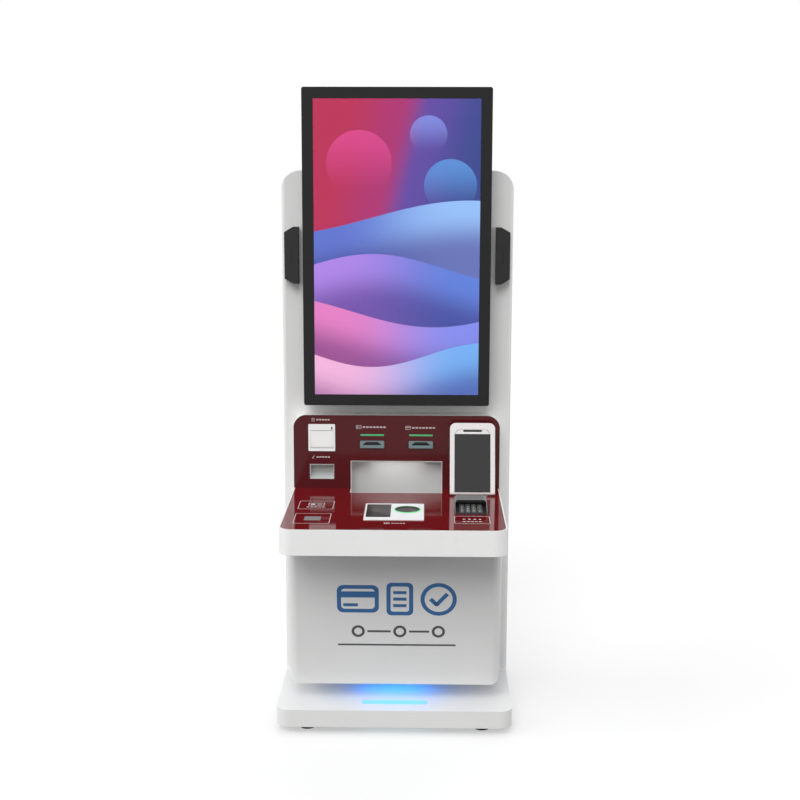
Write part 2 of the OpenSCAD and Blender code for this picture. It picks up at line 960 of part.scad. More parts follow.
module rear_lock() {
  color("silver")
    translate([lock_x, rear_out_y, lock_z])
      difference() {
        union() {
          rotate([-90, 0, 0])
            translate([0, 0, lock_seat_gap])
              cylinder(d = lock_head_d, h = lock_head_t);
          rotate([90, 0, 0])
            translate([0, 0, -lock_head_t])
              cylinder(d = lock_d, h = lock_head_t + sheet + cam_gap + cam_t);
          block([-cam_w / 2, -sheet - cam_gap - cam_t, -cam_l], [cam_w / 2, -sheet - cam_gap, 0]);
        }
        block(
          [-key_slot_w / 2, lock_head_t - eps, -key_slot_l / 2],
          [key_slot_w / 2, lock_head_t + 2 * eps, key_slot_l / 2]
        );
      }
}

// Display outline seen from the front, shrunk by inset
module display_outline(inset) {
  translate([0, display_mid_z])
    rounded(display_w - 2 * inset, display_h - 2 * inset, display_corner_r - inset);
}

module display_bezel() {
  color("#2f2f30")
    difference() {
      along_y(-display_reach, cover_front_y)
        display_outline(0);
      along_y(glass_front_y, cover_front_y + eps)
        display_outline(cover_wall);
      along_y(-display_reach - eps, glass_front_y + eps)
        translate([0, display_mid_z])
          square([screen_w, screen_h], center = true);
    }
}

module display_glass() {
  color("lightsteelblue", 0.4)
    along_y(glass_front_y, panel_front_y)
      translate([0, display_mid_z])
        square([screen_w + 2 * glass_lap, screen_h + 2 * glass_lap], center = true);
}

module display_panel() {
  color("slateblue")
    along_y(panel_front_y, panel_front_y + panel_t)
      translate([0, display_mid_z])
        square([screen_w + glass_lap, screen_h + glass_lap], center = true);
}

// Places a child at the four standoffs, with y along the child's z
module at_standoffs() {
  for (sx = [-1, 1], sz = [-1, 1])
    translate([sx * standoff_pitch / 2, 0, display_mid_z + sz * standoff_pitch / 2])
      rotate([90, 0, 0])
        children();
}

module display_rear_cover() {
  color("#2a2a2b")
    difference() {
      union() {
        difference() {
          along_y(cover_front_y, cover_back_y)
            display_outline(0);
          along_y(cover_front_y - eps, cover_back_y - cover_wall)
            display_outline(cover_wall);
        }
        at_standoffs()
          cylinder(d = standoff_d, h = standoff_l + cover_wall / 2);
        at_standoffs()
          cylinder(d = post_d, h = -panel_front_y - panel_t);
      }
      for (i = [0 : cover_slot_count - 1])
        translate([0, 0, display_z + display_h - cover_slot_drop - i * cover_slot_pitch])
          along_y(cover_back_y - cover_wall - eps, cover_back_y + eps)
            square([cover_slot_w, cover_slot_h], center = true);
    }
}

// Pod outline seen from the front, with the outer side towards +x, shrunk by inset
module pod_outline(inset) {
  inner = pod_outer_x - pod_w + inset;
  outer = pod_outer_x - inset;
  low = pod_z + inset;
  high = pod_z + pod_h - inset;
  polygon([
    [inner, low],
    [outer - pod_slant_w, low],
    [outer, low + pod_slant_h],
    [outer, high - pod_slant_h],
    [outer - pod_slant_w, high],
    [inner, high]
  ]);
}

module pod() {
  difference() {
    intersection() {
      along_y(-pod_inner_d, 0)
        pod_outline(0);
      translate([0, 0, pod_z])
        linear_extrude(pod_h)
          polygon([
            [pod_outer_x - pod_w, 0],
            [pod_outer_x, 0],
            [pod_outer_x, -pod_outer_d],
            [pod_outer_x - pod_w, -pod_inner_d]
          ]);
    }
    along_y(-pod_cavity_d, eps)
      pod_outline(pod_wall);
    for (i = [0 : sound_hole_count - 1])
      translate([pod_mid_x, 0, pod_mid_z + (i - (sound_hole_count - 1) / 2) * sound_hole_pitch])
        along_y(-pod_inner_d - eps, eps - pod_cavity_d)
          circle(d = sound_hole_d);
  }
}

module speaker_pod_left() {
  color("#383838")
    mirror([1, 0, 0])
      pod();
}

module speaker_pod_right() {
  color("#383838")
    pod();
}

module speaker_drivers() {
  color("#202020")
    for (s = [-1, 1])
      translate([s * pod_mid_x, -pod_cavity_d, pod_mid_z])
        rotate([-90, 0, 0]) {
          cylinder(d = driver_d, h = driver_flange_t);
          translate([0, 0, driver_flange_t])
            cylinder(d1 = driver_cone_d, d2 = driver_magnet_d, h = driver_cone_h);
          translate([0, 0, driver_flange_t + driver_cone_h])
            cylinder(d = driver_magnet_d, h = pod_cavity_d - driver_flange_t - driver_cone_h - drop_fit);
        }
}

// Openings that the fascia and its housing share
module device_openings() {
  translate([-receipt_x, receipt_z])
    square([receipt_body_w + 2 * drop_fit, receipt_body_h + 2 * drop_fit], center = true);
  translate([-receipt_x, slip_z])
    square([slip_w + 2 * drop_fit, slip_h + 2 * drop_fit], center = true);
  for (s = [-1, 1])
    translate([s * card_x, card_z])
      square([nose_w + 2 * drop_fit, nose_h + 2 * drop_fit], center = true);
  translate([-niche_cut_w / 2, deck_z - eps])
    square([niche_cut_w, niche_top + niche_wall + drop_fit - deck_z + eps]);
}

// Light bar outlines in the fascia
module light_outlines(grow) {
  for (s = [-1, 1])
    translate([s * card_x, light_z])
      rounded(light_l + 2 * grow, light_h + 2 * grow, light_corner_r + grow);
}

module fascia_housing() {
  color("whitesmoke")
    difference() {
      along_y(housing_y, 0)
        translate([0, deck_z])
          top_rounded(fascia_w, fascia_h, fascia_corner_r);
      along_y(housing_y + sheet, eps)
        translate([0, deck_z - eps])
          top_rounded(fascia_w - 2 * sheet, fascia_h - sheet + eps, fascia_corner_r - sheet);
      along_y(housing_y - eps, housing_y + sheet + eps)
        device_openings();
    }
}

module fascia_panel() {
  color("#57292c")
    difference() {
      along_y(fascia_y, housing_y)
        translate([0, deck_z])
          top_rounded(fascia_w, fascia_h, fascia_corner_r);
      along_y(fascia_y - eps, housing_y + eps) {
        device_openings();
        light_outlines(drop_fit / 2);
      }
    }
}

// Places the receipt printer's pieces on the fascia
module at_receipt() {
  translate([-receipt_x, fascia_y, receipt_z])
    children();
}

module receipt_printer() {
  color("gainsboro")
    at_receipt()
      difference() {
        union() {
          along_y(-receipt_flange_t, 0)
            rounded(receipt_w, receipt_h, receipt_flange_t);
          along_y(-eps, receipt_d)
            square([receipt_body_w, receipt_body_h], center = true);
        }
        block(
          [-receipt_in_w / 2, receipt_face_t, -receipt_in_h / 2],
          [receipt_in_w / 2, receipt_d - receipt_wall, receipt_in_h / 2]
        );
        block(
          [-receipt_in_w / 2, -receipt_flange_t - eps, lid_bottom],
          [receipt_in_w / 2, receipt_face_t + eps, slit_z + slit_h / 2]
        );
        translate([0, lid_axis_y, lid_axis_z])
          rod_x(lid_stub_d + 2 * run_fit, receipt_body_w + 2 * eps);
        translate([release_x, 0, release_z])
          along_y(-receipt_flange_t - eps, receipt_face_t + eps)
            square([release_w + 2 * slide_fit, release_h + 2 * slide_fit], center = true);
      }
}

module receipt_lid() {
  color("white")
    at_receipt()
      difference() {
        union() {
          block([-lid_w / 2, -receipt_flange_t, lid_axis_z], [lid_w / 2, 0, lid_top]);
          translate([0, lid_axis_y, lid_axis_z]) {
            rod_x(2 * lid_barrel_r, lid_w);
            rod_x(lid_stub_d, lid_w + 2 * lid_gap + 2 * stub_in);
          }
          for (s = [-1, 1])
            translate([s * (lid_w - ear_t) / 2, 0, 0])
              block([-ear_t / 2, -eps, lid_top - ear_h], [ear_t / 2, ear_d, lid_top]);
        }
        translate([0, roller_y, roller_z])
          rod_x(roller_shaft_d + 2 * run_fit, receipt_w);
      }
}

module receipt_roller() {
  color("#303030")
    at_receipt()
      translate([0, roller_y, roller_z]) {
        rod_x(roller_d, lid_w - 2 * ear_t - 2 * ear_gap);
        rod_x(roller_shaft_d, lid_w);
      }
}

module receipt_release() {
  color("#404040")
    at_receipt()
      translate([release_x, 0, release_z]) {
        along_y(-receipt_flange_t - release_proud, receipt_face_t + slide_fit + release_rim_t)
          square([release_w, release_h], center = true);
        along_y(receipt_face_t + slide_fit, receipt_face_t + slide_fit + release_rim_t)
          square([release_w + 2 * release_rim, release_h + 2 * release_rim], center = true);
      }
}

module slip_outlet() {
  color("#8c8c8c")
    translate([-receipt_x, fascia_y, slip_z])
      difference() {
        union() {
          along_y(0, slip_d)
            square([slip_w, slip_h], center = true);
          along_y(device_back, device_back + slip_collar_t)
            square([slip_w + 2 * slip_collar, slip_h + 2 * slip_collar], center = true);
        }
        along_x(slip_wall - slip_w / 2, slip_w / 2 - slip_wall)
          polygon([
            [-eps, slip_wall - slip_h / 2],
            [slip_d - slip_wall, slip_wall - slip_h / 2 + slip_floor_drop],
            [slip_d - slip_wall, slip_h / 2 - slip_wall],
            [-eps, slip_h / 2 - slip_wall]
          ]);
        along_y(slip_d - slip_wall - eps, slip_d + eps)
          translate([-slip_slot_w / 2, slip_h / 2 - slip_wall - slip_slot_h])
            square([slip_slot_w, slip_slot_h]);
      }
}

// Places a child at both card readers
module at_cards() {
  for (s = [-1, 1])
    translate([s * card_x, fascia_y, card_z])
      children();
}

module card_bezels() {
  color("#737f83")
    at_cards()
      difference() {
        along_y(-card_bezel_t, 0)
          rounded(card_w, card_h, card_corner_r);
        along_y(-card_bezel_t - eps, eps)
          square([card_slot_w, card_slot_h], center = true);
        along_y(-card_bezel_t - eps, thumb_d - card_bezel_t)
          polygon([
            [-thumb_w / 2, 0],
            [thumb_w / 2, 0],
            [thumb_top_w / 2, card_h / 2 - thumb_margin],
            [-thumb_top_w / 2, card_h / 2 - thumb_margin]
          ]);
      }
}

module card_readers() {
  color("#404448")
    at_cards()
      difference() {
        union() {
          along_y(0, device_back + eps)
            square([nose_w, nose_h], center = true);
          along_y(device_back, device_back + reader_l)
            square([reader_w, reader_h], center = true);
        }
        along_y(-eps, device_back + reader_l - throat_margin)
          square([card_slot_w, throat_h], center = true);
      }
}

module card_lights() {
  color("#49c866")
    along_y(fascia_y - light_proud, housing_y)
      light_outlines(0);
}

module document_niche() {
  color("white")
    difference() {
      union() {
        block(
          [-niche_out_w / 2, niche_out_front, niche_floor - niche_wall],
          [niche_out_w / 2, niche_out_back, counter_z]
        );
        block(
          [-niche_out_w / 2, fascia_y, deck_z],
          [niche_out_w / 2, niche_out_back, niche_top + niche_wall]
        );
      }
      block([-niche_w / 2, -niche_reach, niche_floor], [niche_w / 2, -niche_back, counter_z + eps]);
      block([-niche_w / 2, fascia_y - eps, counter_z - eps], [niche_w / 2, -niche_back, niche_top]);
      block(
        [niche_wall - niche_w / 2, -niche_back - eps, niche_top - exit_h],
        [niche_w / 2 - niche_wall, niche_out_back + eps, niche_top - niche_wall]
      );
    }
}

module document_printer() {
  color("#d8d8d4")
    difference() {
      union() {
        block(
          [-printer_w / 2, printer_back - printer_d, printer_z],
          [printer_w / 2, printer_back, printer_z + printer_h]
        );
        block(
          [-chute_in_w / 2 - chute_wall, chute_front_y, printer_z + printer_h - eps],
          [chute_in_w / 2 + chute_wall, chute_front_y + chute_d + 2 * chute_wall, niche_top + chute_wall]
        );
      }
      block(
        [
          printer_wall - printer_w / 2,
          printer_back - printer_d + printer_wall,
          printer_z + bay_h + printer_wall
        ],
        [printer_w / 2 - printer_wall, printer_back - printer_wall, printer_z + printer_h - printer_wall]
      );
      block(
        [-bay_w / 2, printer_back - cassette_out_d - slide_fit, printer_z - eps],
        [bay_w / 2, printer_back + eps, printer_z + bay_h]
      );
      block(
        [-chute_in_w / 2, chute_front_y + chute_wall, printer_z + printer_h - printer_wall - eps],
        [chute_in_w / 2, chute_front_y + chute_wall + chute_d, niche_top]
      );
      block(
        [niche_wall - niche_w / 2, chute_front_y - eps, niche_top - exit_h],
        [niche_w / 2 - niche_wall, chute_front_y + chute_wall + eps, niche_top - niche_wall]
      );
    }
}

module paper_cassette() {
  color("#5a5e62")
    difference() {
      block(
        [-cassette_out_w / 2, printer_back - cassette_out_d, printer_z + cassette_lift],
        [cassette_out_w / 2, printer_back, printer_z + cassette_lift + cassette_h]
      );
      block(
        [
          -cassette_w / 2,
          printer_back - cassette_out_d + cassette_wall,
          printer_z + cassette_lift + cassette_wall
        ],
        [cassette_w / 2, printer_back - cassette_wall, printer_z + cassette_h + 2 * eps]
      );
      block(
        [-cassette_handle_w / 2, printer_back - cassette_wall - eps, printer_z + cassette_handle_z],
        [cassette_handle_w / 2, printer_back + eps, printer_z + cassette_handle_z + cassette_handle_h]
      );
    }
}

// Plan of the openings in the counter top and its deck
module counter_openings(grow) {
  translate([-niche_cut_w / 2, niche_out_front - drop_fit])
    square([niche_cut_w, niche_out_back - niche_out_front + 2 * drop_fit]);
  translate([0, -scan_reach])
    square([scan_box_w + 2 * grow, scan_box_d + 2 * grow], center = true);
  translate([pin_x - pin_w / 2 - grow, -pin_reach - grow])
    square([pin_w + 2 * grow, pin_d + 2 * grow]);
}

module counter_tray() {
  color("white")
    difference() {
      translate([0, 0, tray_bottom])
        linear_extrude(counter_h)
          front_rounded(fascia_w, counter_reach, counter_corner_r);
      translate([0, -sheet, tray_bottom + sheet])
        linear_extrude(deck_z - tray_bottom - 2 * sheet)
          front_rounded(fascia_w - 2 * sheet, counter_reach - 2 * sheet, counter_corner_r - sheet);
      translate([0, 0, deck_z])
        linear_extrude(counter_h)
          front_rounded(
            fascia_w - 2 * counter_lip,
            counter_reach - counter_lip,
            counter_corner_r - counter_lip
          );
      block([-fascia_w, fascia_y, deck_z], [fascia_w, eps, counter_z + eps]);
      translate([0, 0, deck_z - sheet - eps])
        linear_extrude(counter_h)
          counter_openings(drop_fit);
      block(
        [-tray_cut_w / 2, -tray_cut_front, tray_bottom - eps],
        [tray_cut_w / 2, -tray_cut_back, tray_bottom + sheet + eps]
      );
      block([-chute_cut_w / 2, niche_out_back, tray_bottom - eps], [chute_cut_w / 2, eps, counter_z]);
      terminal_screw_holes();
    }
}

module counter_top() {
  color("#6d1217")
    difference() {
      translate([0, 0, deck_z])
        linear_extrude(top_t)
          intersection() {
            front_rounded(
              fascia_w - 2 * counter_lip - drop_fit,
              counter_reach - counter_lip - drop_fit / 2,
              counter_corner_r - counter_lip
            );
            translate([-fascia_w / 2, -counter_reach])
              square([fascia_w, counter_reach - fascia_reach]);
          }
      translate([0, 0, deck_z - eps])
        linear_extrude(top_t + 2 * eps)
          counter_openings(drop_fit);
      terminal_screw_holes();
    }
}

// Places the scanner's pieces on the counter
module at_scanner() {
  translate([0, -scan_reach, counter_z])
    children();
}

module scanner_plate() {
  color("white")
    at_scanner()
      difference() {
        union() {
          linear_extrude(scan_t)
            rounded(scan_w, scan_d, scan_t);
          translate([-scan_box_w / 2, -scan_box_d / 2, -scan_box_h])
            cube([scan_box_w, scan_box_d, scan_box_h + eps]);
        }
        translate([scan_wall - scan_box_w / 2, scan_wall - scan_box_d / 2, -scan_box_h - eps])
          cube([scan_box_w - 2 * scan_wall, scan_box_d - 2 * scan_wall, scan_box_h + eps - scan_floor_t]);
        translate([window_x, window_y, scan_t - scan_glass_t])
          linear_extrude(scan_t)
            square([window_w + drop_fit, window_d + drop_fit], center = true);
        translate([window_x, window_y, -scan_box_h])
          linear_extrude(scan_box_h + scan_t)
            square([window_w - 2 * scan_ledge, window_d - 2 * scan_ledge], center = true);
        translate([ring_x, ring_y, scan_t - scan_glass_t])
          cylinder(d = ring_d + drop_fit, h = scan_t);
        translate([ring_x, ring_y, -scan_box_h])
          cylinder(d = lens_d - 2 * scan_ledge, h = scan_box_h + scan_t);
      }
}

module scanner_glass() {
  color("#303032")
    at_scanner() {
      translate([window_x, window_y, scan_t - scan_glass_t])
        linear_extrude(scan_glass_t)
          square([window_w, window_d], center = true);
      translate([ring_x, ring_y, scan_t - scan_glass_t])
        cylinder(d = lens_d - drop_fit, h = scan_glass_t);
    }
}

module scanner_ring() {
  color("#49c866")
    at_scanner()
      translate([ring_x, ring_y, scan_t - scan_glass_t])
        difference() {
          cylinder(d = ring_d, h = scan_glass_t + ring_proud);
          translate([0, 0, -eps])
            cylinder(d = lens_d, h = scan_glass_t + ring_proud + 2 * eps);
        }
}

// Places the PIN pad's pieces, with the front edge of the body at the origin
module at_pinpad() {
  translate([pin_x, -pin_reach, counter_z])
    children();
}

// Places a child at key i, on the sloping key field
module at_key(i) {
  column = i % key_columns;
  row = floor(i / key_columns);
  translate([0, 0, pin_front_h])
    rotate([pin_tilt, 0, 0])
      translate([
        column * key_pitch - key_field_w / 2,
        key_front + (key_rows - 1 - row) * key_pitch,
        0
      ])
        children();
}

module pinpad_body() {
  color("#3a3c3e")
    at_pinpad()
      difference() {
        union() {
          along_x(-pin_w / 2, pin_w / 2)
            polygon([[0, -pin_drop], [pin_d, -pin_drop], [pin_d, pin_top_back], [0, pin_front_h]]);
          block([-pin_w / 2 - pin_flange, 0, 0], [pin_w / 2 + pin_flange, pin_d, pin_flange_t]);
        }
        for (i = [0 : key_count - 1])
          at_key(i)
            translate([0, 0, -key_stem - key_travel - well_floor])
              linear_extrude(key_stem + key_travel + well_floor + pin_front_h)
                rounded(key_side + 2 * slide_fit, key_side + 2 * slide_fit, key_corner_r + slide_fit);
      }
}

module pin_key(i) {
  color("#8a8d90")
    at_pinpad()
      at_key(i)
        difference() {
          translate([0, 0, -key_stem])
            linear_extrude(key_stem + key_proud)
              rounded(key_side, key_side, key_corner_r);
          translate([0, 0, key_proud - key_dish + key_dish_r])
            sphere(r = key_dish_r);
        }
}

module pinpad_hood() {
  color("#777777")
    translate([pin_x, 0, counter_z])
      difference() {
        intersection() {
          along_y(hood_front_y, hood_back_y)
            top_rounded(hood_w, hood_h, hood_corner_r + hood_wall);
          along_x(-hood_w / 2, hood_w / 2)
            polygon([
              [hood_front_y, 0],
              [hood_back_y, 0],
              [hood_back_y, hood_h],
              [-hood_roof_reach, hood_h],
              [hood_front_y, hood_cheek_h]
            ]);
        }
        along_y(hood_front_y - eps, hood_back_y - hood_wall)
          translate([0, -eps])
            top_rounded(hood_w - 2 * hood_wall, hood_h - hood_wall + eps, hood_corner_r);
      }
}

// Places the terminal's pieces about its tilt pin, leaning back
module at_terminal() {
  translate([term_x, -term_reach, counter_z + tilt_pin_h])
    rotate([-term_lean, 0, 0])
      children();
}

// Places a child at the two ears of the terminal's stand
module at_ears() {
  for (s = [-1, 1])
    translate([s * ear_pitch / 2, 0, 0])
      children();
}

// Terminal without its cuts, round along its lower edge
module term_slab() {
  intersection() {
    along_x(-term_w, term_w) {
      circle(d = term_t);
      translate([term_front, 0])
        square([term_t, term_h + term_t]);
    }
    along_y(-term_t, term_t)
      translate([0, -term_t])
        top_rounded(term_w, term_h + term_t, term_corner_r);
  }
}

// Outline of the terminal's screen
module term_screen(grow) {
  translate([0, term_margin + term_screen_h / 2])
    square([term_screen_w + grow, term_screen_h + grow], center = true);
}

// Outline of the terminal's camera window
module term_camera(grow) {
  translate([0, term_margin + term_screen_h + camera_rise + camera_h / 2])
    rounded(camera_w + grow, camera_h + grow, camera_h / 2 - 1);
}

// Outline of the shallow brow around the camera window
module term_brow() {
  low = term_margin + term_screen_h + 1;
  polygon([
    [-term_screen_w / 2, low],
    [term_screen_w / 2, low],
    [term_screen_w / 2 - brow_side, low + brow_h],
    [brow_side - term_screen_w / 2, low + brow_h]
  ]);
}

module terminal_housing() {
  color("#ded8d6")
    at_terminal()
      difference() {
        term_slab();
        at_ears() {
          along_x(-ear_w / 2 - ear_gap_x, ear_w / 2 + ear_gap_x) {
            circle(notch_r);
            translate([0, -term_t])
              square([term_t, term_t + notch_r]);
            translate([-notch_r, -term_t])
              square([notch_r, term_t]);
          }
          rod_x(tilt_pin_d + 2 * run_fit, ear_w + 2 * pin_in + 2 * ear_gap_x);
        }
        along_y(term_front - eps, term_front + term_glass_t)
          term_screen(drop_fit);
        along_y(term_front - eps, term_front + brow_d + term_glass_t)
          term_camera(drop_fit);
        along_y(term_front - eps, term_front + brow_d)
          term_brow();
      }
}

module terminal_glass() {
  color("#424242")
    at_terminal() {
      along_y(term_front, term_front + term_glass_t)
        term_screen(0);
      along_y(term_front + brow_d, term_front + brow_d + term_glass_t)
        term_camera(0);
    }
}

module terminal_bracket() {
  color("#c8c8c8")
    difference() {
      translate([term_x, -term_reach, counter_z]) {
        translate([0, bracket_mid, 0])
          linear_extrude(bracket_foot_t)
            rounded(bracket_foot_w, bracket_foot_d, bracket_foot_t);
        at_ears() {
          along_x(-ear_w / 2, ear_w / 2) {
            translate([-bracket_ear_d / 2, 0]) {
              square([bracket_ear_d, tilt_pin_h]);
              square([bracket_ear_d / 2 + bracket_mid, bracket_foot_t]);
            }
            translate([0, tilt_pin_h])
              circle(d = bracket_ear_d);
          }
          translate([0, 0, tilt_pin_h])
            rod_x(tilt_pin_d, ear_w + 2 * pin_in);
        }
      }
      terminal_screw_holes();
    }
}

// Outer or inner solid of the cabinet, shrunk by inset
module cabinet_core(inset, z0, z1, y1) {
  intersection() {
    translate([0, -cabinet_foot_reach + inset, cabinet_bottom])
      rotate([cabinet_lean, 0, 0])
        translate([0, overall_d, -overall_d])
          linear_extrude(3 * overall_d)
            front_rounded(cabinet_w - 2 * inset, overall_d, cabinet_edge_r - inset);
    along_y(-overall_d, y1)
      translate([0, z1])
        mirror([0, 1])
          top_rounded(cabinet_w - 2 * inset, z1 - z0, cabinet_corner_r - inset);
  }
}

module cabinet_shell() {
  color("#dcdcdc")
    difference() {
      cabinet_core(0, cabinet_bottom, tray_bottom, 0);
      difference() {
        cabinet_core(sheet, cabinet_bottom + sheet, tray_bottom + eps, eps);
        block([-cabinet_w / 2, shelf_front_y, shelf_z - sheet], [cabinet_w / 2, 0, shelf_z]);
        difference() {
          block([-cabinet_w / 2, -overall_d, tray_bottom - sheet], [cabinet_w / 2, eps, tray_bottom]);
          block(
            [cabinet_flange - cabinet_w / 2, cabinet_flange - tray_cut_front, tray_bottom - 2 * sheet],
            [cabinet_w / 2 - cabinet_flange, 2 * eps, tray_bottom + sheet]
          );
        }
      }
    }
}

module computer() {
  color("#3c4046")
    translate([0, sheet, computer_z])
      difference() {
        union() {
          block([-computer_w / 2, 0, 0], [computer_w / 2, computer_d - fin_d, computer_h]);
          for (i = [0 : fin_count - 1])
            translate([(i / (fin_count - 1) - 0.5) * (computer_w - fin_t), 0, 0])
              block([-fin_t / 2, eps, 0], [fin_t / 2, computer_d, computer_h]);
        }
        block(
          [case_wall - computer_w / 2, case_wall, case_wall],
          [computer_w / 2 - case_wall, computer_d - fin_d - case_wall, computer_h - case_wall]
        );
        block([-port_w / 2, port_inset, -eps], [port_w / 2, port_inset + port_d, case_wall + eps]);
      }
}

// Places the power supply's pieces at its rear face, at mid height
module at_supply() {
  translate([0, rear_in_y, supply_mid_z])
    children();
}

module power_supply() {
  color("#8d9094")
    at_supply()
      difference() {
        union() {
          difference() {
            along_y(-supply_d, 0)
              square([supply_w, supply_h], center = true);
            along_y(case_wall - supply_d, -case_wall)
              square([supply_w - 2 * case_wall, supply_h - 2 * case_wall], center = true);
          }
          along_y(-eps, sheet)
            square([supply_face_w, supply_face_h], center = true);
          translate([inlet_x, 0, 0])
            along_y(-inlet_d, 0)
              square([inlet_w + 2 * inlet_wall, inlet_h + 2 * inlet_wall], center = true);
          translate([switch_x, 0, 0])
            along_y(-inlet_d, 0)
              square([switch_w + 2 * slide_fit + 2 * inlet_wall, switch_h + 4 * inlet_wall], center = true);
        }
        difference() {
          translate([inlet_x, 0, 0])
            along_y(inlet_wall - inlet_d, sheet + eps)
              square([inlet_w, inlet_h], center = true);
          for (i = [-1, 0, 1])
            translate([inlet_x + i * blade_pitch, 0, 0])
              block(
                [-blade_w / 2, -inlet_d, -blade_h / 2],
                [blade_w / 2, inlet_wall - inlet_d + blade_l, blade_h / 2]
              );
        }
        translate([switch_x, 0, 0])
          along_y(inlet_wall - inlet_d, sheet + eps)
            square([switch_w + 2 * slide_fit, switch_h + 2 * slide_fit], center = true);
        translate([switch_x, -switch_in, 0])
          rod_x(switch_pin_d + 2 * run_fit, switch_w + 2 * slide_fit + inlet_wall);
        for (sx = [-1, 1], sz = [-1, 1])
          translate([sx * supply_screw_x, 0, sz * supply_screw_z])
            along_y(-screw_l, eps)
              circle(d = screw_hole_d);
      }
}

module power_switch() {
  color("#181818")
    at_supply()
      translate([switch_x, -switch_in, 0])
        rotate([switch_throw / 2, 0, 0]) {
          along_x(-switch_w / 2, switch_w / 2)
            polygon([
              [-switch_tail, -switch_tail_h / 2],
              [-switch_tail, switch_tail_h / 2],
              [switch_front, switch_h / 2 - switch_edge],
              [switch_front - switch_dip, 0],
              [switch_front, switch_edge - switch_h / 2]
            ]);
          rod_x(switch_pin_d, switch_w + 2 * slide_fit + inlet_wall / 2);
        }
}

// Places a child at the fan's middle on the rear wall, with its z into the column
module at_fan() {
  translate([0, rear_in_y, fan_z])
    rotate([90, 0, 0])
      children();
}

module fan_housing() {
  color("#2c2c2c")
    at_fan()
      difference() {
        union() {
          difference() {
            linear_extrude(fan_d)
              rounded(fan_side, fan_side, fan_screw_inset);
            translate([0, 0, -eps])
              cylinder(d = fan_bore_d, h = fan_d + 2 * eps);
          }
          translate([0, 0, fan_d - fan_web_t]) {
            cylinder(d = fan_hub_d, h = fan_web_t);
            for (a = [0 : 90 : 270])
              rotate([0, 0, a + 45])
                translate([0, -fan_spoke_w / 2, 0])
                  cube([fan_bore_d / 2 + eps, fan_spoke_w, fan_web_t]);
          }
        }
        translate([0, 0, fan_d - fan_web_t - eps])
          cylinder(d = fan_shaft_d + 2 * run_fit, h = fan_web_t + 2 * eps);
        for (sx = [-1, 1], sy = [-1, 1])
          translate([sx, sy, 0] * fan_screw_x)
            translate([0, 0, -eps])
              cylinder(d = screw_hole_d, h = screw_l + eps);
      }
}

module fan_rotor() {
  color("#1c1c1c")
    at_fan()
      translate([0, 0, fan_d - fan_web_t - rotor_gap - rotor_t]) {
        cylinder(d = fan_hub_d, h = rotor_t);
        cylinder(d = fan_shaft_d, h = rotor_t + rotor_gap + fan_web_t);
        intersection() {
          cylinder(d = fan_bore_d - 2 * fan_tip_gap, h = rotor_t);
          for (i = [0 : fan_blade_count - 1])
            rotate([0, 0, i * 360 / fan_blade_count])
              translate([0, 0, rotor_t / 2])
                rotate([fan_blade_pitch, 0, 0])
                  translate([fan_hub_d / 2 - fan_blade_root, -fan_blade_chord / 2, -fan_blade_t / 2])
                    cube([fan_side, fan_blade_chord, fan_blade_t]);
        }
      }
}

// Screw holes of the fan and the power supply in the rear wall
module wall_screw_holes() {
  for (sx = [-1, 1], sz = [-1, 1]) {
    translate([sx * fan_screw_x, 0, fan_z + sz * fan_screw_x])
      along_y(rear_in_y - eps, rear_out_y + eps)
        circle(d = screw_hole_d);
    translate([sx * supply_screw_x, 0, supply_mid_z + sz * supply_screw_z])
      along_y(rear_in_y - eps, rear_out_y + eps)
        circle(d = screw_hole_d);
  }
}

// Places a child at the screws of the terminal's stand
module at_terminal_screws() {
  translate([term_x, bracket_mid - term_reach, counter_z + bracket_foot_t])
    for (sx = [-1, 1], sy = [-1, 1])
      translate([sx * term_screw_x, sy * term_screw_y, 0])
        children();
}

module terminal_screw_holes() {
  at_terminal_screws()
    translate([0, 0, -2 * screw_l])
      cylinder(d = screw_hole_d, h = 3 * screw_l);
}

// Screw with its head above z = 0
module screw() {
  cylinder(d = screw_head_d, h = screw_head_t);
  translate([0, 0, -screw_l])
    cylinder(d = screw_d, h = screw_l + eps);
}

module screws() {
  color("silver") {
    for (sx = [-1, 1], sz = [-1, 1]) {
      translate([sx * fan_screw_x, rear_out_y, fan_z + sz * fan_screw_x])
        rotate([-90, 0, 0])
          screw();
      translate([sx * supply_screw_x, rear_out_y, supply_mid_z + sz * supply_screw_z])
        rotate([-90, 0, 0])
          screw();
    }
    at_terminal_screws()
      screw();
  }
}

// Everything is measured from the column face, and then set about the origin
module placed() {
  translate([0, face_y, 0])
    children();
}

placed() base_plinth();
placed() levelling_feet();
placed() light_bars();
placed() column_shell();
placed() rear_door();
placed() rear_hinge_pins();
placed() rear_lock();
placed() display_bezel();
placed() display_glass();
placed() display_panel();
placed() display_rear_cover();
placed() speaker_pod_left();
placed() speaker_pod_right();
placed() speaker_drivers();
placed() fascia_housing();
placed() fascia_panel();
placed() receipt_printer();
placed() receipt_lid();
placed() receipt_roller();
placed() receipt_release();
placed() slip_outlet();
placed() card_bezels();
placed() card_readers();
placed() card_lights();
placed() document_niche();
placed() document_printer();
placed() paper_cassette();
placed() counter_tray();
placed() counter_top();
placed() scanner_plate();
placed() scanner_glass();
placed() scanner_ring();
placed() pinpad_body();
placed() pinpad_hood();
placed() terminal_housing();
placed() terminal_glass();
placed() terminal_bracket();
placed() cabinet_shell();
placed() computer();
placed() power_supply();
placed() power_switch();
placed() fan_housing();
placed() fan_rotor();
placed() screws();
for (i = [0 : key_count - 1])
  placed() pin_key(i);
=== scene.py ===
"""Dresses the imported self-service kiosk: camera, studio, finishes and small surface pieces."""
import math

import bmesh
import bpy
from mathutils import Matrix, Vector


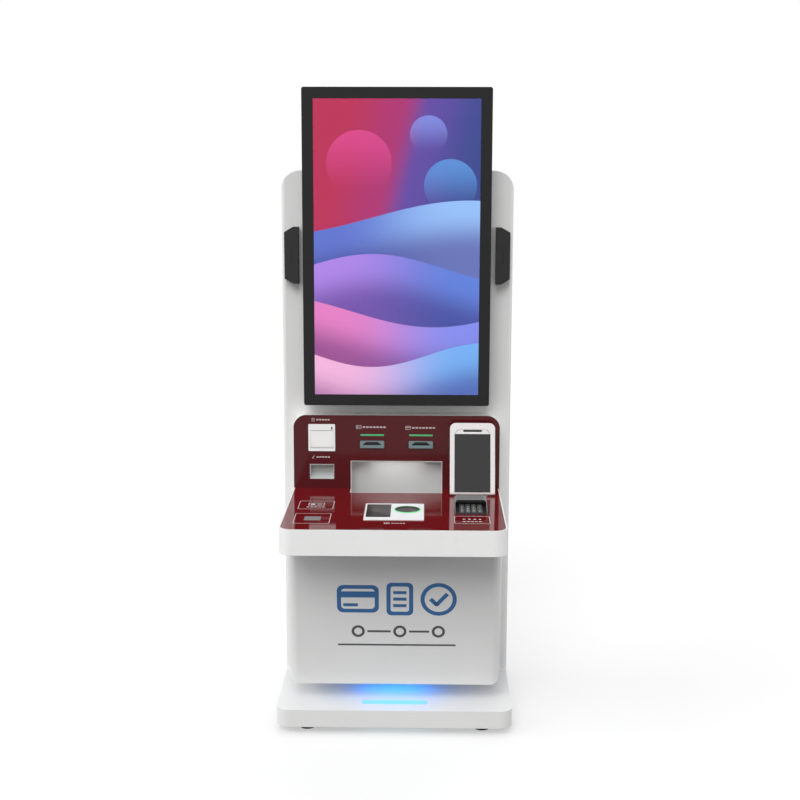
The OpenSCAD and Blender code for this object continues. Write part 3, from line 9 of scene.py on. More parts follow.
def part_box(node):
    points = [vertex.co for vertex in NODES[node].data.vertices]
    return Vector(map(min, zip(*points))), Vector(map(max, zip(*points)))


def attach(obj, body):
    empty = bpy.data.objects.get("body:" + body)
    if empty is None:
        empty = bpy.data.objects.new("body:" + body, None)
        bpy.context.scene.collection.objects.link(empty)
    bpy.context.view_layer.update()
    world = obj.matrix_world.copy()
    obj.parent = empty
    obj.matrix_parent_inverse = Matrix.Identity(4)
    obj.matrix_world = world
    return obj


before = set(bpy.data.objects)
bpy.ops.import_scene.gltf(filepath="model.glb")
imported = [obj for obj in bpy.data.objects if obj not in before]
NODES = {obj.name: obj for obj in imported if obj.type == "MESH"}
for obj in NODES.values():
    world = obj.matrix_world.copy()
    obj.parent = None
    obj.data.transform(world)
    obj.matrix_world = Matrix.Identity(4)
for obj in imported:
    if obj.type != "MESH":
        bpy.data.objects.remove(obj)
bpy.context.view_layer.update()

SCENE = bpy.context.scene
MM = 0.001

# The column's front, the fascia's face and the counter's surface in the part's frame, in metres
FACE_Y = 0.185
FASCIA_Y = FACE_Y - 0.059
COUNTER_Z = 0.732

# Right and up on a surface that faces the user, the rear or the sky
FRONT = ((1, 0, 0), (0, 0, 1))
REAR = ((-1, 0, 0), (0, 0, 1))
TOP = ((1, 0, 0), (0, 1, 0))


# Camera fitted to the photograph

LENS_MM = 63.491
SENSOR_MM = 36.0
CLIP_END = 100.0
CAMERA_AT = Vector((0.09121, FACE_Y - 4.60038, 1.82223))
CAMERA_PITCH = math.radians(9.92)
CAMERA_YAW = math.radians(1.01)
CAMERA_ROLL = math.radians(0.13)


def add_camera():
    """Camera at the photograph's place, with its lens."""
    sy, cy = math.sin(CAMERA_YAW), math.cos(CAMERA_YAW)
    sp, cp = math.sin(CAMERA_PITCH), math.cos(CAMERA_PITCH)
    forward = Vector((-sy * cp, cy * cp, -sp))
    right = Vector((cy, sy, 0.0))
    up = right.cross(forward)
    cr, sr = math.cos(CAMERA_ROLL), math.sin(CAMERA_ROLL)
    right, up = right * cr + up * sr, up * cr - right * sr
    data = bpy.data.cameras.new("camera")
    data.lens = LENS_MM
    data.sensor_width = SENSOR_MM
    data.sensor_fit = "HORIZONTAL"
    data.clip_end = CLIP_END
    cam = bpy.data.objects.new("camera", data)
    SCENE.collection.objects.link(cam)
    turn = Matrix((right, up, -forward)).transposed().to_4x4()
    cam.matrix_world = Matrix.Translation(CAMERA_AT) @ turn
    SCENE.camera = cam


# Shader building blocks

def put(tree, value, socket):
    """Links a socket, or sets a number or a plain colour."""
    if isinstance(value, (int, float)):
        socket.default_value = value
    elif isinstance(value, tuple):
        socket.default_value = (*value, 1.0)
    else:
        tree.links.new(value, socket)


def fill(tree, node, values):
    """Puts a value on each named input."""
    for name, value in values.items():
        put(tree, value, node.inputs[name])


def math_node(tree, operation, a, b=None):
    """Math node on sockets or numbers."""
    node = tree.nodes.new("ShaderNodeMath")
    node.operation = operation
    put(tree, a, node.inputs[0])
    if b is not None:
        put(tree, b, node.inputs[1])
    return node.outputs[0]


def map_range(tree, value, start, end, low=0.0, high=1.0, blend="LINEAR"):
    """Carries a value between start and end over to low and high."""
    node = tree.nodes.new("ShaderNodeMapRange")
    node.interpolation_type = blend
    fill(tree, node, {"Value": value, "From Min": start, "From Max": end,
                      "To Min": low, "To Max": high})
    return node.outputs["Result"]


def smooth_step(tree, value, start, end):
    """0 at start and 1 at end, with a soft way between."""
    return map_range(tree, value, start, end, blend="SMOOTHSTEP")


def ramp_node(tree, fac, stops, blend="EASE"):
    """Colour ramp from (position, colour) stops."""
    node = tree.nodes.new("ShaderNodeValToRGB")
    ramp = node.color_ramp
    ramp.interpolation = blend
    while len(ramp.elements) < len(stops):
        ramp.elements.new(0.5)
    for element, (position, color) in zip(ramp.elements, stops):
        element.position = position
        element.color = (*color, 1.0)
    put(tree, fac, node.inputs["Fac"])
    return node.outputs["Color"]


def mix_color(tree, fac, a, b, blend="MIX"):
    """Mix of two colours, each a socket or a plain colour."""
    node = tree.nodes.new("ShaderNodeMix")
    node.data_type = "RGBA"
    node.blend_type = blend
    fill(tree, node, {"Factor": fac, "A": a, "B": b})
    return node.outputs["Result"]


def place_node(tree):
    """Socket of a point's place in the part's frame."""
    return tree.nodes.new("ShaderNodeTexCoord").outputs["Object"]


def split_node(tree, vector):
    """X, Y and Z of a vector."""
    node = tree.nodes.new("ShaderNodeSeparateXYZ")
    put(tree, vector, node.inputs[0])
    return node.outputs["X"], node.outputs["Y"], node.outputs["Z"]


def distance_node(tree, dx, dy):
    """Length of a flat step."""
    square = math_node(tree, "ADD", math_node(tree, "MULTIPLY", dx, dx),
                       math_node(tree, "MULTIPLY", dy, dy))
    return math_node(tree, "SQRT", square)


def noise_node(tree, coord, scale, detail=3.0, stretch=None):
    """Noise over the part's frame; stretch gives a brushed grain."""
    node = tree.nodes.new("ShaderNodeTexNoise")
    if stretch:
        mapping = tree.nodes.new("ShaderNodeMapping")
        mapping.inputs["Scale"].default_value = stretch
        put(tree, coord, mapping.inputs["Vector"])
        coord = mapping.outputs["Vector"]
    fill(tree, node, {"Vector": coord, "Scale": scale, "Detail": detail})
    return node.outputs["Fac"]


def new_material(name):
    """Material, its tree and its surface node."""
    mat = bpy.data.materials.new(name)
    mat.use_nodes = True
    return mat, mat.node_tree, mat.node_tree.nodes["Principled BSDF"]


# Studio

WHITE = (1.0, 1.0, 1.0)
WORLD_LEVEL = 0.5
FLOOR_HALF = 14.0
FLOOR_SEEN = (0.5, 0.5, 0.5)
FLOOR_BOUNCE = (0.08, 0.08, 0.08)
FLOOR_GLOW = 0.46
SUNS = [
    # name, direction towards it, strength, spread in degrees, shown in gloss and glass
    ("front", (-0.14, -0.74, 0.66), 1.55, 36.0, True),
    ("left", (-1.0, -0.25, 0.5), 1.4, 50.0, False),
    ("right", (1.0, -0.25, 0.15), 0.95, 50.0, False),
    ("rear", (0.2, 1.0, 0.15), 1.5, 60.0, False),
]


def seen_rays(tree):
    """Socket that is 1 on camera, glossy and transmission rays."""
    path = tree.nodes.new("ShaderNodeLightPath").outputs
    eye = math_node(tree, "MAXIMUM", path["Is Camera Ray"], path["Is Glossy Ray"])
    return math_node(tree, "MAXIMUM", eye, path["Is Transmission Ray"])


def add_world():
    """White to the eye, a soft grey dome to the object."""
    world = bpy.data.worlds.new("studio")
    world.use_nodes = True
    SCENE.world = world
    tree = world.node_tree
    tree.nodes.clear()
    mix = tree.nodes.new("ShaderNodeMixShader")
    put(tree, seen_rays(tree), mix.inputs[0])
    for i, level in ((1, WORLD_LEVEL), (2, 1.0)):
        dome = tree.nodes.new("ShaderNodeBackground")
        fill(tree, dome, {"Color": WHITE, "Strength": level})
        put(tree, dome.outputs[0], mix.inputs[i])
    out = tree.nodes.new("ShaderNodeOutputWorld")
    put(tree, mix.outputs[0], out.inputs["Surface"])


def floor_material():
    """White to the eye, dark to the light that it throws back, and open to shadows."""
    mat = bpy.data.materials.new("floor_white")
    mat.use_nodes = True
    tree = mat.node_tree
    tree.nodes.clear()
    seen = seen_rays(tree)
    diffuse = tree.nodes.new("ShaderNodeBsdfDiffuse")
    put(tree, mix_color(tree, seen, FLOOR_BOUNCE, FLOOR_SEEN), diffuse.inputs["Color"])
    glow = tree.nodes.new("ShaderNodeEmission")
    level = math_node(tree, "MULTIPLY", seen, FLOOR_GLOW)
    fill(tree, glow, {"Color": WHITE, "Strength": level})
    add = tree.nodes.new("ShaderNodeAddShader")
    put(tree, diffuse.outputs[0], add.inputs[0])
    put(tree, glow.outputs[0], add.inputs[1])
    out = tree.nodes.new("ShaderNodeOutputMaterial")
    put(tree, add.outputs[0], out.inputs["Surface"])
    return mat


def add_floor():
    """Pale floor that keeps the object's shadow."""
    mesh = bpy.data.meshes.new("floor")
    half = FLOOR_HALF
    corners = [(-half, -half, 0), (half, -half, 0), (half, half, 0), (-half, half, 0)]
    mesh.from_pydata(corners, [], [(0, 1, 2, 3)])
    mesh.materials.append(floor_material())
    floor = bpy.data.objects.new("floor", mesh)
    SCENE.collection.objects.link(floor)


def add_suns():
    """Very soft, even light from four directions."""
    for name, towards, strength, spread, mirrored in SUNS:
        data = bpy.data.lights.new(name, "SUN")
        data.energy = strength
        data.angle = math.radians(spread)
        lamp = bpy.data.objects.new(name, data)
        SCENE.collection.objects.link(lamp)
        lamp.rotation_euler = Vector(towards).to_track_quat("Z", "Y").to_euler()
        lamp.visible_glossy = mirrored


def add_studio():
    """White surroundings, floor and light."""
    add_world()
    add_floor()
    add_suns()
    SCENE.view_settings.view_transform = "Standard"


# Materials

NOISE_LOW = 0.3
NOISE_HIGH = 0.7
BEVEL_SAMPLES = 4


def surface(name, color, rough, metallic=0.0, specular=0.5, shade=0.03, shade_scale=7.0,
            rough_range=0.05, rough_scale=30.0, bump=0.1, bump_scale=700.0, bump_mm=0.1,
            edge_mm=0.5, stretch=None):
    """Finish with a slow colour drift, uneven gloss, fine relief and softly broken edges."""
    mat, tree, bsdf = new_material(name)
    coord = place_node(tree)

    low = [c * (1.0 - shade) for c in color]
    high = [min(1.0, c * (1.0 + shade)) for c in color]
    drift = noise_node(tree, coord, shade_scale, stretch=stretch)
    tone = ramp_node(tree, drift, [(NOISE_LOW, low), (NOISE_HIGH, high)], "LINEAR")

    grain = noise_node(tree, coord, rough_scale, stretch=stretch)
    gloss = map_range(tree, grain, NOISE_LOW, NOISE_HIGH,
                      max(0.01, rough - rough_range), min(1.0, rough + rough_range))

    relief = tree.nodes.new("ShaderNodeBump")
    fine = noise_node(tree, coord, bump_scale, 2.0, stretch)
    fill(tree, relief, {"Strength": bump, "Distance": bump_mm * MM, "Height": fine})
    if edge_mm:
        edge = tree.nodes.new("ShaderNodeBevel")
        edge.samples = BEVEL_SAMPLES
        put(tree, edge_mm * MM, edge.inputs["Radius"])
        put(tree, edge.outputs["Normal"], relief.inputs["Normal"])

    fill(tree, bsdf, {"Base Color": tone, "Roughness": gloss, "Normal": relief.outputs["Normal"],
                      "Metallic": metallic, "Specular IOR Level": specular})
    return mat


def ink(name, color, rough=0.45, shade=0.04):
    """Finish of flat print."""
    return surface(name, color, rough, shade=shade, bump=0.2, bump_scale=1800.0, bump_mm=0.02,
                   edge_mm=0.0)


def add_glow(mat, color, level):
    """Lets a finish shine in a colour, at a strength that is a number or a socket."""
    tree = mat.node_tree
    fill(tree, tree.nodes["Principled BSDF"], {"Emission Color": color, "Emission Strength": level})
    return mat


# Wallpaper of the lit panel, in metres about its middle: dunes under a sky of soft discs
SKY_SLANT = -0.25
SKY_REACH = (-0.34, 0.26)
SKY = [
    (0.0, (0.50, 0.008, 0.075)),
    (0.35, (0.42, 0.012, 0.15)),
    (0.6, (0.10, 0.05, 0.36)),
    (1.0, (0.02, 0.045, 0.26)),
]
DISCS = [
    # x, z, radius, colour
    (-0.12, 0.27, 0.105, (0.78, 0.05, 0.28)),
    (0.10, 0.36, 0.060, (0.24, 0.30, 0.85)),
    (0.17, 0.20, 0.085, (0.10, 0.33, 0.80)),
]
DISC_EDGE = 0.002
DISC_COVER = 0.75
DUNES = [
    # level, swing, radians per metre, phase, colour at the left, colour at the right
    (0.10, 0.055, 5.0, 0.4, (0.10, 0.16, 0.62), (0.30, 0.52, 0.95)),
    (-0.06, 0.045, 7.0, 2.1, (0.42, 0.22, 0.80), (0.10, 0.20, 0.70)),
    (-0.20, 0.050, 6.0, 4.0, (0.80, 0.20, 0.55), (0.22, 0.25, 0.85)),
    (-0.34, 0.040, 8.5, 5.4, (0.92, 0.45, 0.72), (0.16, 0.42, 0.90)),
]
DUNE_EDGE = 0.0015
DUNE_DEPTH = 0.19
DUNE_SHADE = (0.4, 0.3, 0.5)
HALF_PICTURE = 0.27
LIT_DEPTH_MM = 0.5


def picture_material():
    """Lit picture on the LCD panel's front, and a dark back."""
    low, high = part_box("display_panel")
    mat, tree, bsdf = new_material("lit_picture")
    x, y, z = split_node(tree, place_node(tree))
    z = math_node(tree, "SUBTRACT", z, (low[2] + high[2]) / 2)
    slant = math_node(tree, "ADD", x, math_node(tree, "MULTIPLY", z, SKY_SLANT))
    color = ramp_node(tree, smooth_step(tree, slant, *SKY_REACH), SKY)
    for cx, cz, radius, tint in DISCS:
        dx = math_node(tree, "SUBTRACT", x, cx)
        dz = math_node(tree, "SUBTRACT", z, cz)
        inside = smooth_step(tree, distance_node(tree, dx, dz), radius, radius - DISC_EDGE)
        fade = math_node(tree, "MULTIPLY", smooth_step(tree, dz, -radius, radius), DISC_COVER)
        color = mix_color(tree, math_node(tree, "MULTIPLY", inside, fade), color, tint)
    across = smooth_step(tree, x, -HALF_PICTURE, HALF_PICTURE)
    for level, swing, waves, phase, left, right in DUNES:
        angle = math_node(tree, "ADD", math_node(tree, "MULTIPLY", x, waves), phase)
        wave = math_node(tree, "MULTIPLY", math_node(tree, "SINE", angle), swing)
        depth = math_node(tree, "SUBTRACT", math_node(tree, "ADD", wave, level), z)
        body = ramp_node(tree, across, [(0.0, left), (1.0, right)])
        shaded = ramp_node(tree, smooth_step(tree, depth, 0.0, DUNE_DEPTH),
                           [(0.0, WHITE), (1.0, DUNE_SHADE)])
        tone = mix_color(tree, 1.0, body, shaded, "MULTIPLY")
        color = mix_color(tree, smooth_step(tree, depth, 0.0, DUNE_EDGE), color, tone)
    fill(tree, bsdf, {"Base Color": (0.01, 0.01, 0.012), "Roughness": 0.3,
                      "Specular IOR Level": 0.2})
    front = math_node(tree, "LESS_THAN", y, low[1] + LIT_DEPTH_MM * MM)
    return add_glow(mat, color, front)


# Lights of the one node that holds them, from the floor up, in metres
STRIP_FROM = 0.11
NICHE_FROM = 0.5
LIGHTS = [
    # where it begins, colour, strength
    (0.0, (0.24, 0.70, 0.86), 1.0),
    (STRIP_FROM, (0.006, 0.26, 1.0), 4.6),
    (NICHE_FROM, WHITE, 10.5),
]
# How far from the middle the two upper lights end, and from where they fade
STRIP_FADE = (0.19, 0.03)
NICHE_FADE = (0.09, 0.082)
FACING_FRONT = -0.5


def light_bar_material():
    """Ice-blue bar in the plinth, blue strip under the cabinet, white light in the niche."""
    mat, tree, bsdf = new_material("ice_light")
    x, _, z = split_node(tree, place_node(tree))
    peak = max(strength for _, _, strength in LIGHTS)
    color = ramp_node(tree, z, [(start, tint) for start, tint, _ in LIGHTS], "CONSTANT")
    shares = [(start, (strength / peak,) * 3) for start, _, strength in LIGHTS]
    level = math_node(tree, "MULTIPLY", ramp_node(tree, z, shares, "CONSTANT"), peak)

    # The two upper lights are weaker towards their ends
    aside = math_node(tree, "ABSOLUTE", x)
    in_niche = math_node(tree, "GREATER_THAN", z, NICHE_FROM)
    under_niche = math_node(tree, "LESS_THAN", z, NICHE_FROM)
    no_strip = math_node(tree, "MAXIMUM", math_node(tree, "LESS_THAN", z, STRIP_FROM), in_niche)
    strip = math_node(tree, "MAXIMUM", smooth_step(tree, aside, *STRIP_FADE), no_strip)
    niche = math_node(tree, "MAXIMUM", smooth_step(tree, aside, *NICHE_FADE), under_niche)
    level = math_node(tree, "MULTIPLY", level, math_node(tree, "MULTIPLY", strip, niche))

    # The niche's light has an opaque front edge
    normal = tree.nodes.new("ShaderNodeNewGeometry").outputs["Normal"]
    turned = math_node(tree, "GREATER_THAN", split_node(tree, normal)[1], FACING_FRONT)
    clear = math_node(tree, "MAXIMUM", turned, under_niche)
    fill(tree, bsdf, {"Base Color": (0.05, 0.07, 0.08), "Roughness": 0.4})
    return add_glow(mat, color, math_node(tree, "MULTIPLY", level, clear))


NICHE_RIM_MM = 3.0


def niche_material():
    """White pocket painted down to grey as painted shade of the recess, with the fascia's white
    rim.
    """
    # The pocket's grey is painted shade inside the recess; the rim keeps the coat's white
    mat = surface("niche_coat_painted_shade", (0.45, 0.45, 0.446), 0.45, specular=0.3, shade=0.012,
                  bump=0.1, bump_scale=1200.0, bump_mm=0.05, edge_mm=0.8)
    tree = mat.node_tree
    base = tree.nodes["Principled BSDF"].inputs["Base Color"]
    inside = base.links[0].from_socket
    y = split_node(tree, place_node(tree))[1]
    rim = math_node(tree, "LESS_THAN", y, FASCIA_Y + NICHE_RIM_MM * MM)
    put(tree, mix_color(tree, rim, inside, (0.82, 0.82, 0.815)), base)
    return mat


# The scanner's ring: where its lit rim begins, from the ring's middle, and its soft edge
RING_LIT_FROM = 0.0386
RING_EDGE = 0.6 * MM


def ring_material():
    """Dark lens holder with a lit green rim."""
    low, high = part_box("scanner_ring")
    mat = surface("ring_light", (0.02, 0.05, 0.03), 0.3, shade=0.05, bump=0.05, edge_mm=0.3)
    tree = mat.node_tree
    x, y, _ = split_node(tree, place_node(tree))
    dx = math_node(tree, "SUBTRACT", x, (low[0] + high[0]) / 2)
    dy = math_node(tree, "SUBTRACT", y, (low[1] + high[1]) / 2)
    lit = smooth_step(tree, distance_node(tree, dx, dy), RING_LIT_FROM, RING_LIT_FROM + RING_EDGE)
    return add_glow(mat, (0.10, 0.75, 0.26), lit)


def glass_material():
    """Clear cover glass with a faint smear in its gloss."""
    mat = surface("clear_glass", (0.96, 0.98, 0.98), 0.015, specular=0.25, shade=0.005,
                  rough_range=0.008, rough_scale=9.0, bump=0.0, edge_mm=0.4)
    tree = mat.node_tree
    put(tree, 1.0, tree.nodes["Principled BSDF"].inputs["Transmission Weight"])
    return mat


def coats():
    """Painted metal, and the fascia's and the counter's glossy red."""
    return {
        "white": surface("white_coat", (0.80, 0.80, 0.795), 0.36, specular=0.35, shade=0.012,
                         bump=0.12, bump_scale=1100.0, bump_mm=0.05, edge_mm=1.2),
        "tray": surface("white_tray_coat", (0.885, 0.885, 0.88), 0.32, specular=0.35, shade=0.01,
                        bump=0.1, bump_scale=1100.0, bump_mm=0.05, edge_mm=1.6),
        "niche": niche_material(),
        "fascia_red": surface("fascia_red", (0.085, 0.0075, 0.010), 0.10, specular=0.2,
                              shade_scale=5.0, rough_range=0.02, bump=0.03, bump_scale=25.0,
                              bump_mm=0.05, edge_mm=1.0),
        "counter_red": surface("counter_red", (0.155, 0.0050, 0.0075), 0.06, specular=0.22,
                               shade_scale=5.0, rough_range=0.015, bump=0.02, bump_scale=20.0,
                               bump_mm=0.05, edge_mm=0.8),
    }


def plastics():
    """Moulded pieces, from white to black, and rubber."""
    return {
        "ivory": surface("printer_plastic", (0.90, 0.92, 0.915), 0.42, specular=0.4, shade=0.015,
                         bump=0.25, bump_scale=1600.0, bump_mm=0.06, edge_mm=0.6),
        "terminal": surface("terminal_white", (0.74, 0.725, 0.715), 0.25, specular=0.45,
                            shade=0.012, bump=0.08, bump_scale=900.0, bump_mm=0.04, edge_mm=1.2),
        "plain_case": surface("case_plastic", (0.62, 0.62, 0.60), 0.55, bump=0.4,
                              bump_scale=1100.0, bump_mm=0.12, edge_mm=0.8),
        "grey_pocket": surface("pocket_grey", (0.50, 0.53, 0.515), 0.5, shade=0.04, bump=0.3,
                               bump_scale=1300.0, bump_mm=0.08, edge_mm=0.4),
        "insert_grey": surface("insert_grey", (0.20, 0.20, 0.20), 0.45, shade=0.05, bump=0.3,
                               bump_scale=1300.0, bump_mm=0.08, edge_mm=0.3),
        "slate": surface("bezel_slate", (0.18, 0.245, 0.265), 0.4, specular=0.4, shade=0.04,
                         bump=0.3, bump_scale=1500.0, bump_mm=0.06, edge_mm=0.7),
        "hood": surface("hood_grey", (0.18, 0.18, 0.18), 0.45, shade=0.04, bump=0.4,
                        bump_scale=1300.0, edge_mm=0.6),
        "dark_plastic": surface("dark_plastic", (0.055, 0.058, 0.062), 0.55, shade=0.08, bump=0.4,
                                bump_scale=1000.0),
        "pinpad": surface("pinpad_black", (0.022, 0.022, 0.023), 0.45, shade=0.08, bump=0.3,
                          bump_scale=1300.0, bump_mm=0.08, edge_mm=0.4),
        "bezel": surface("black_bezel", (0.010, 0.010, 0.0105), 0.42, specular=0.22, shade=0.06,
                         bump=0.25, bump_scale=1500.0, bump_mm=0.06, edge_mm=0.9),
        "back_cover": surface("black_back_cover", (0.024, 0.024, 0.025), 0.55, specular=0.3,
                              shade=0.08, bump=0.4, bump_scale=900.0, bump_mm=0.12, edge_mm=0.9),
        "pod": surface("black_pod", (0.018, 0.018, 0.0185), 0.5, specular=0.25, shade=0.06,
                       bump=0.35, bump_scale=1000.0, edge_mm=0.7),
        "driver": surface("driver_black", (0.02, 0.02, 0.02), 0.7, shade=0.1, bump=0.3,
                          bump_scale=1400.0),
        "cone": surface("cone_grey", (0.10, 0.10, 0.10), 0.7, shade=0.1, bump=0.3,
                        bump_scale=1400.0),
        "rubber": surface("foot_rubber", (0.02, 0.02, 0.02), 0.75, shade=0.1, bump=0.5,
                          bump_scale=500.0, bump_mm=0.2, edge_mm=0.6),
    }


def metals():
    """Bare metal."""
    return {
        "key": surface("key_steel", (0.30, 0.305, 0.31), 0.34, metallic=0.7, shade=0.06,
                       shade_scale=60.0, rough_range=0.08, rough_scale=120.0, bump=0.15,
                       bump_scale=300.0, bump_mm=0.04, stretch=(1.0, 14.0, 1.0)),
        "steel": surface("bright_steel", (0.55, 0.55, 0.56), 0.28, metallic=1.0, shade=0.05,
                         shade_scale=40.0, rough_range=0.08, rough_scale=150.0,
                         bump_scale=500.0, bump_mm=0.03, edge_mm=0.3),
        "zinc": surface("zinc_sheet", (0.50, 0.51, 0.52), 0.38, metallic=1.0, shade=0.12,
                        shade_scale=45.0, rough_range=0.1, rough_scale=60.0,
                        bump_scale=300.0, bump_mm=0.05),
        "dark_metal": surface("dark_case_metal", (0.05, 0.053, 0.057), 0.5, metallic=0.2,
                              shade=0.08, bump=0.5, bump_scale=800.0),
    }


def glass_and_lights():
    """Glass, the lit picture and the lamps."""
    green = surface("green_light", (0.05, 0.30, 0.12), 0.3, shade=0.02, bump=0.05, edge_mm=0.3)
    return {
        "glass": glass_material(),
        "dark_glass": surface("dark_glass", (0.026, 0.022, 0.022), 0.22, specular=0.05,
                              shade=0.05, rough_range=0.02, bump=0.0, edge_mm=0.3),
        "terminal_glass": surface("terminal_glass", (0.036, 0.036, 0.037), 0.10, specular=0.25,
                                  rough_range=0.03, bump=0.0, edge_mm=0.3),
        "picture": picture_material(),
        "ice": light_bar_material(),
        "green": add_glow(green, (0.035, 0.30, 0.11), 0.5),
        "ring_green": ring_material(),
    }


def inks():
    """Print."""
    return {
        "ink": ink("white_ink", (0.68, 0.66, 0.66), shade=0.03),
        "soft_ink": ink("soft_white_ink", (0.52, 0.45, 0.45), shade=0.03),
        "blue_ink": ink("blue_ink", (0.022, 0.115, 0.30)),
        "grey_ink": ink("grey_ink", (0.06, 0.06, 0.065), rough=0.5),
        "red_ink": ink("red_ink", (0.45, 0.02, 0.02)),
        "amber_ink": ink("amber_ink", (0.65, 0.33, 0.02)),
        "green_ink": ink("green_ink", (0.04, 0.35, 0.09)),
    }


NODE_FINISH = {
    "base_plinth": "white", "levelling_feet": "rubber", "light_bars": "ice",
    "column_shell": "white", "rear_door": "white", "rear_hinge_pins": "steel", "rear_lock": "key",
    "display_bezel": "bezel", "display_glass": "glass", "display_panel": "picture",
    "display_rear_cover": "back_cover",
    "speaker_pod_left": "pod", "speaker_pod_right": "pod", "speaker_drivers": "cone",
    "fascia_housing": "white", "fascia_panel": "fascia_red",
    "receipt_printer": "ivory", "receipt_lid": "ivory", "receipt_roller": "rubber",
    "receipt_release": "dark_plastic", "slip_outlet": "grey_pocket",
    "card_bezels": "slate", "card_readers": "dark_plastic", "card_lights": "green",
    "document_niche": "niche", "document_printer": "plain_case", "paper_cassette": "dark_plastic",
    "counter_tray": "tray", "counter_top": "counter_red",
    "scanner_plate": "ivory", "scanner_glass": "dark_glass", "scanner_ring": "ring_green",
    "pinpad_body": "pinpad", "pinpad_hood": "hood",
    "terminal_housing": "terminal", "terminal_glass": "terminal_glass", "terminal_bracket": "zinc",
    "cabinet_shell": "white", "computer": "dark_metal",
    "power_supply": "zinc", "power_switch": "dark_plastic",
    "fan_housing": "dark_plastic", "fan_rotor": "driver", "screws": "steel",
}


def dress_nodes(finish):
    """Gives each node its finish; the sixteen keys share one."""
    for name, node in NODES.items():
        mat = finish["key"] if name.startswith("pin_key_") else finish[NODE_FINISH[name]]
        node.data.materials.clear()
        node.data.materials.append(mat)


# Flat pieces on surfaces. Outlines and heights are in millimetres in the surface's own plane.

# How far print reaches into its surface and stands out of it
SUNK = -0.05
INK_HIGH = 0.15


def round_rect(cx, cy, w, h, r, steps=5):
    """Rounded rectangle as a list of points, counter-clockwise."""
    points = []
    for sx, sy, start in ((1, 1, 0), (-1, 1, 90), (-1, -1, 180), (1, -1, 270)):
        mx, my = cx + sx * (w / 2 - r), cy + sy * (h / 2 - r)
        for i in range(steps + 1):
            a = math.radians(start + 90.0 * i / steps)
            points.append((mx + r * math.cos(a), my + r * math.sin(a)))
    return points


def disc(cx, cy, r, steps=28):
    """Circle as a list of points, counter-clockwise."""
    angles = [2 * math.pi * i / steps for i in range(steps)]
    return [(cx + r * math.cos(a), cy + r * math.sin(a)) for a in angles]


def stroke(x0, y0, x1, y1, w):
    """Straight stroke of width w as a quad."""
    along = Vector((x1 - x0, y1 - y0)).normalized()
    sx, sy = Vector((-along.y, along.x)) * (w / 2)
    return [(x0 - sx, y0 - sy), (x1 - sx, y1 - sy), (x1 + sx, y1 + sy), (x0 + sx, y0 + sy)]


def add_piece(name, mesh, mat, body):
    """Shows a mesh as a piece that rides a body."""
    mesh.materials.clear()
    mesh.materials.append(mat)
    obj = bpy.data.objects.new(name, mesh)
    SCENE.collection.objects.link(obj)
    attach(obj, body)


class Plane:
    """A surface with its origin, its right and its up, in the part's frame."""

    def __init__(self, origin, right, up):
        self.origin = Vector(origin)
        self.right = Vector(right).normalized()
        self.up = Vector(up).normalized()
        self.out = self.right.cross(self.up)

    def at(self, x, y, h):
        return self.origin + (self.right * x + self.up * y + self.out * h) * MM


class Flat:
    """Collects prisms and rings on a plane into one mesh piece."""

    def __init__(self, plane):
        self.plane = plane
        self.bm = bmesh.new()

    def loop(self, points, height):
        return [self.bm.verts.new(self.plane.at(x, y, height)) for x, y in points]

    def wall(self, a, b):
        """Faces between two loops of one length."""
        for i in range(len(a)):
            j = (i + 1) % len(a)
            self.bm.faces.new((a[i], a[j], b[j], b[i]))

    def prism(self, points, low=SUNK, high=INK_HIGH):
        base, top = self.loop(points, low), self.loop(points, high)
        self.bm.faces.new(list(reversed(base)))
        self.bm.faces.new(top)
        self.wall(base, top)

    def ring(self, outer, inner, low=SUNK, high=INK_HIGH):
        loops = [self.loop(outer, low), self.loop(outer, high),
                 self.loop(inner, high), self.loop(inner, low)]
        for k, loop in enumerate(loops):
            self.wall(loop, loops[(k + 1) % 4])

    def piece(self, name, mat, body):
        mesh = bpy.data.meshes.new(name)
        bmesh.ops.recalc_face_normals(self.bm, faces=self.bm.faces)
        self.bm.to_mesh(mesh)
        self.bm.free()
        add_piece(name, mesh, mat, body)


# Signs

FINE_STEPS = 40


def dashes(flat, x, y, count, w, h, gap):
    """Row of plain dashes that starts at x."""
    for i in range(count):
        flat.prism(round_rect(x + w / 2 + i * (w + gap), y, w, h, h * 0.3, 3))


def frame_line(flat, cx, cy, w, h, r, line):
    """Outline of a rounded box."""
    flat.ring(round_rect(cx, cy, w, h, r),
              round_rect(cx, cy, w - 2 * line, h - 2 * line, r - line * 0.6))


def sheet_icon(flat, cx, cy, w, h, line):
    """Sheet with three written lines."""
    frame_line(flat, cx, cy, w, h, 1.2 * line, line)
    for k in (-1, 0, 1):
        y = cy + k * h * 0.2
        flat.prism(stroke(cx - w * 0.25, y, cx + w * 0.25, y, line * 0.8))


def card_icon(flat, cx, cy, w, h, line, banded):
    """Card, with a stripe or with a picture and lines."""
    frame_line(flat, cx, cy, w, h, 1.5 * line, line)
    if banded:
        flat.prism(round_rect(cx, cy + h * 0.16, w - 2 * line, h * 0.22, 0.05, 1))
        flat.prism(stroke(cx - w * 0.35, cy - h * 0.22, cx, cy - h * 0.22, line * 0.8))
    else:
        flat.prism(round_rect(cx - w * 0.22, cy, w * 0.26, h * 0.42, line * 0.5, 3))
        for k in (-1, 0, 1):
            y = cy + k * h * 0.2
            flat.prism(stroke(cx + w * 0.04, y, cx + w * 0.34, y, line * 0.7))


def pen_icon(flat, cx, cy, size, line):
    """Slanted pen over a line."""
    flat.prism(stroke(cx - size * 0.35, cy - size * 0.28, cx + size * 0.35, cy + size * 0.42,
                      line * 1.8))
    flat.prism(stroke(cx - size * 0.5, cy - size * 0.48, cx + size * 0.4, cy - size * 0.48,
                      line * 0.9))


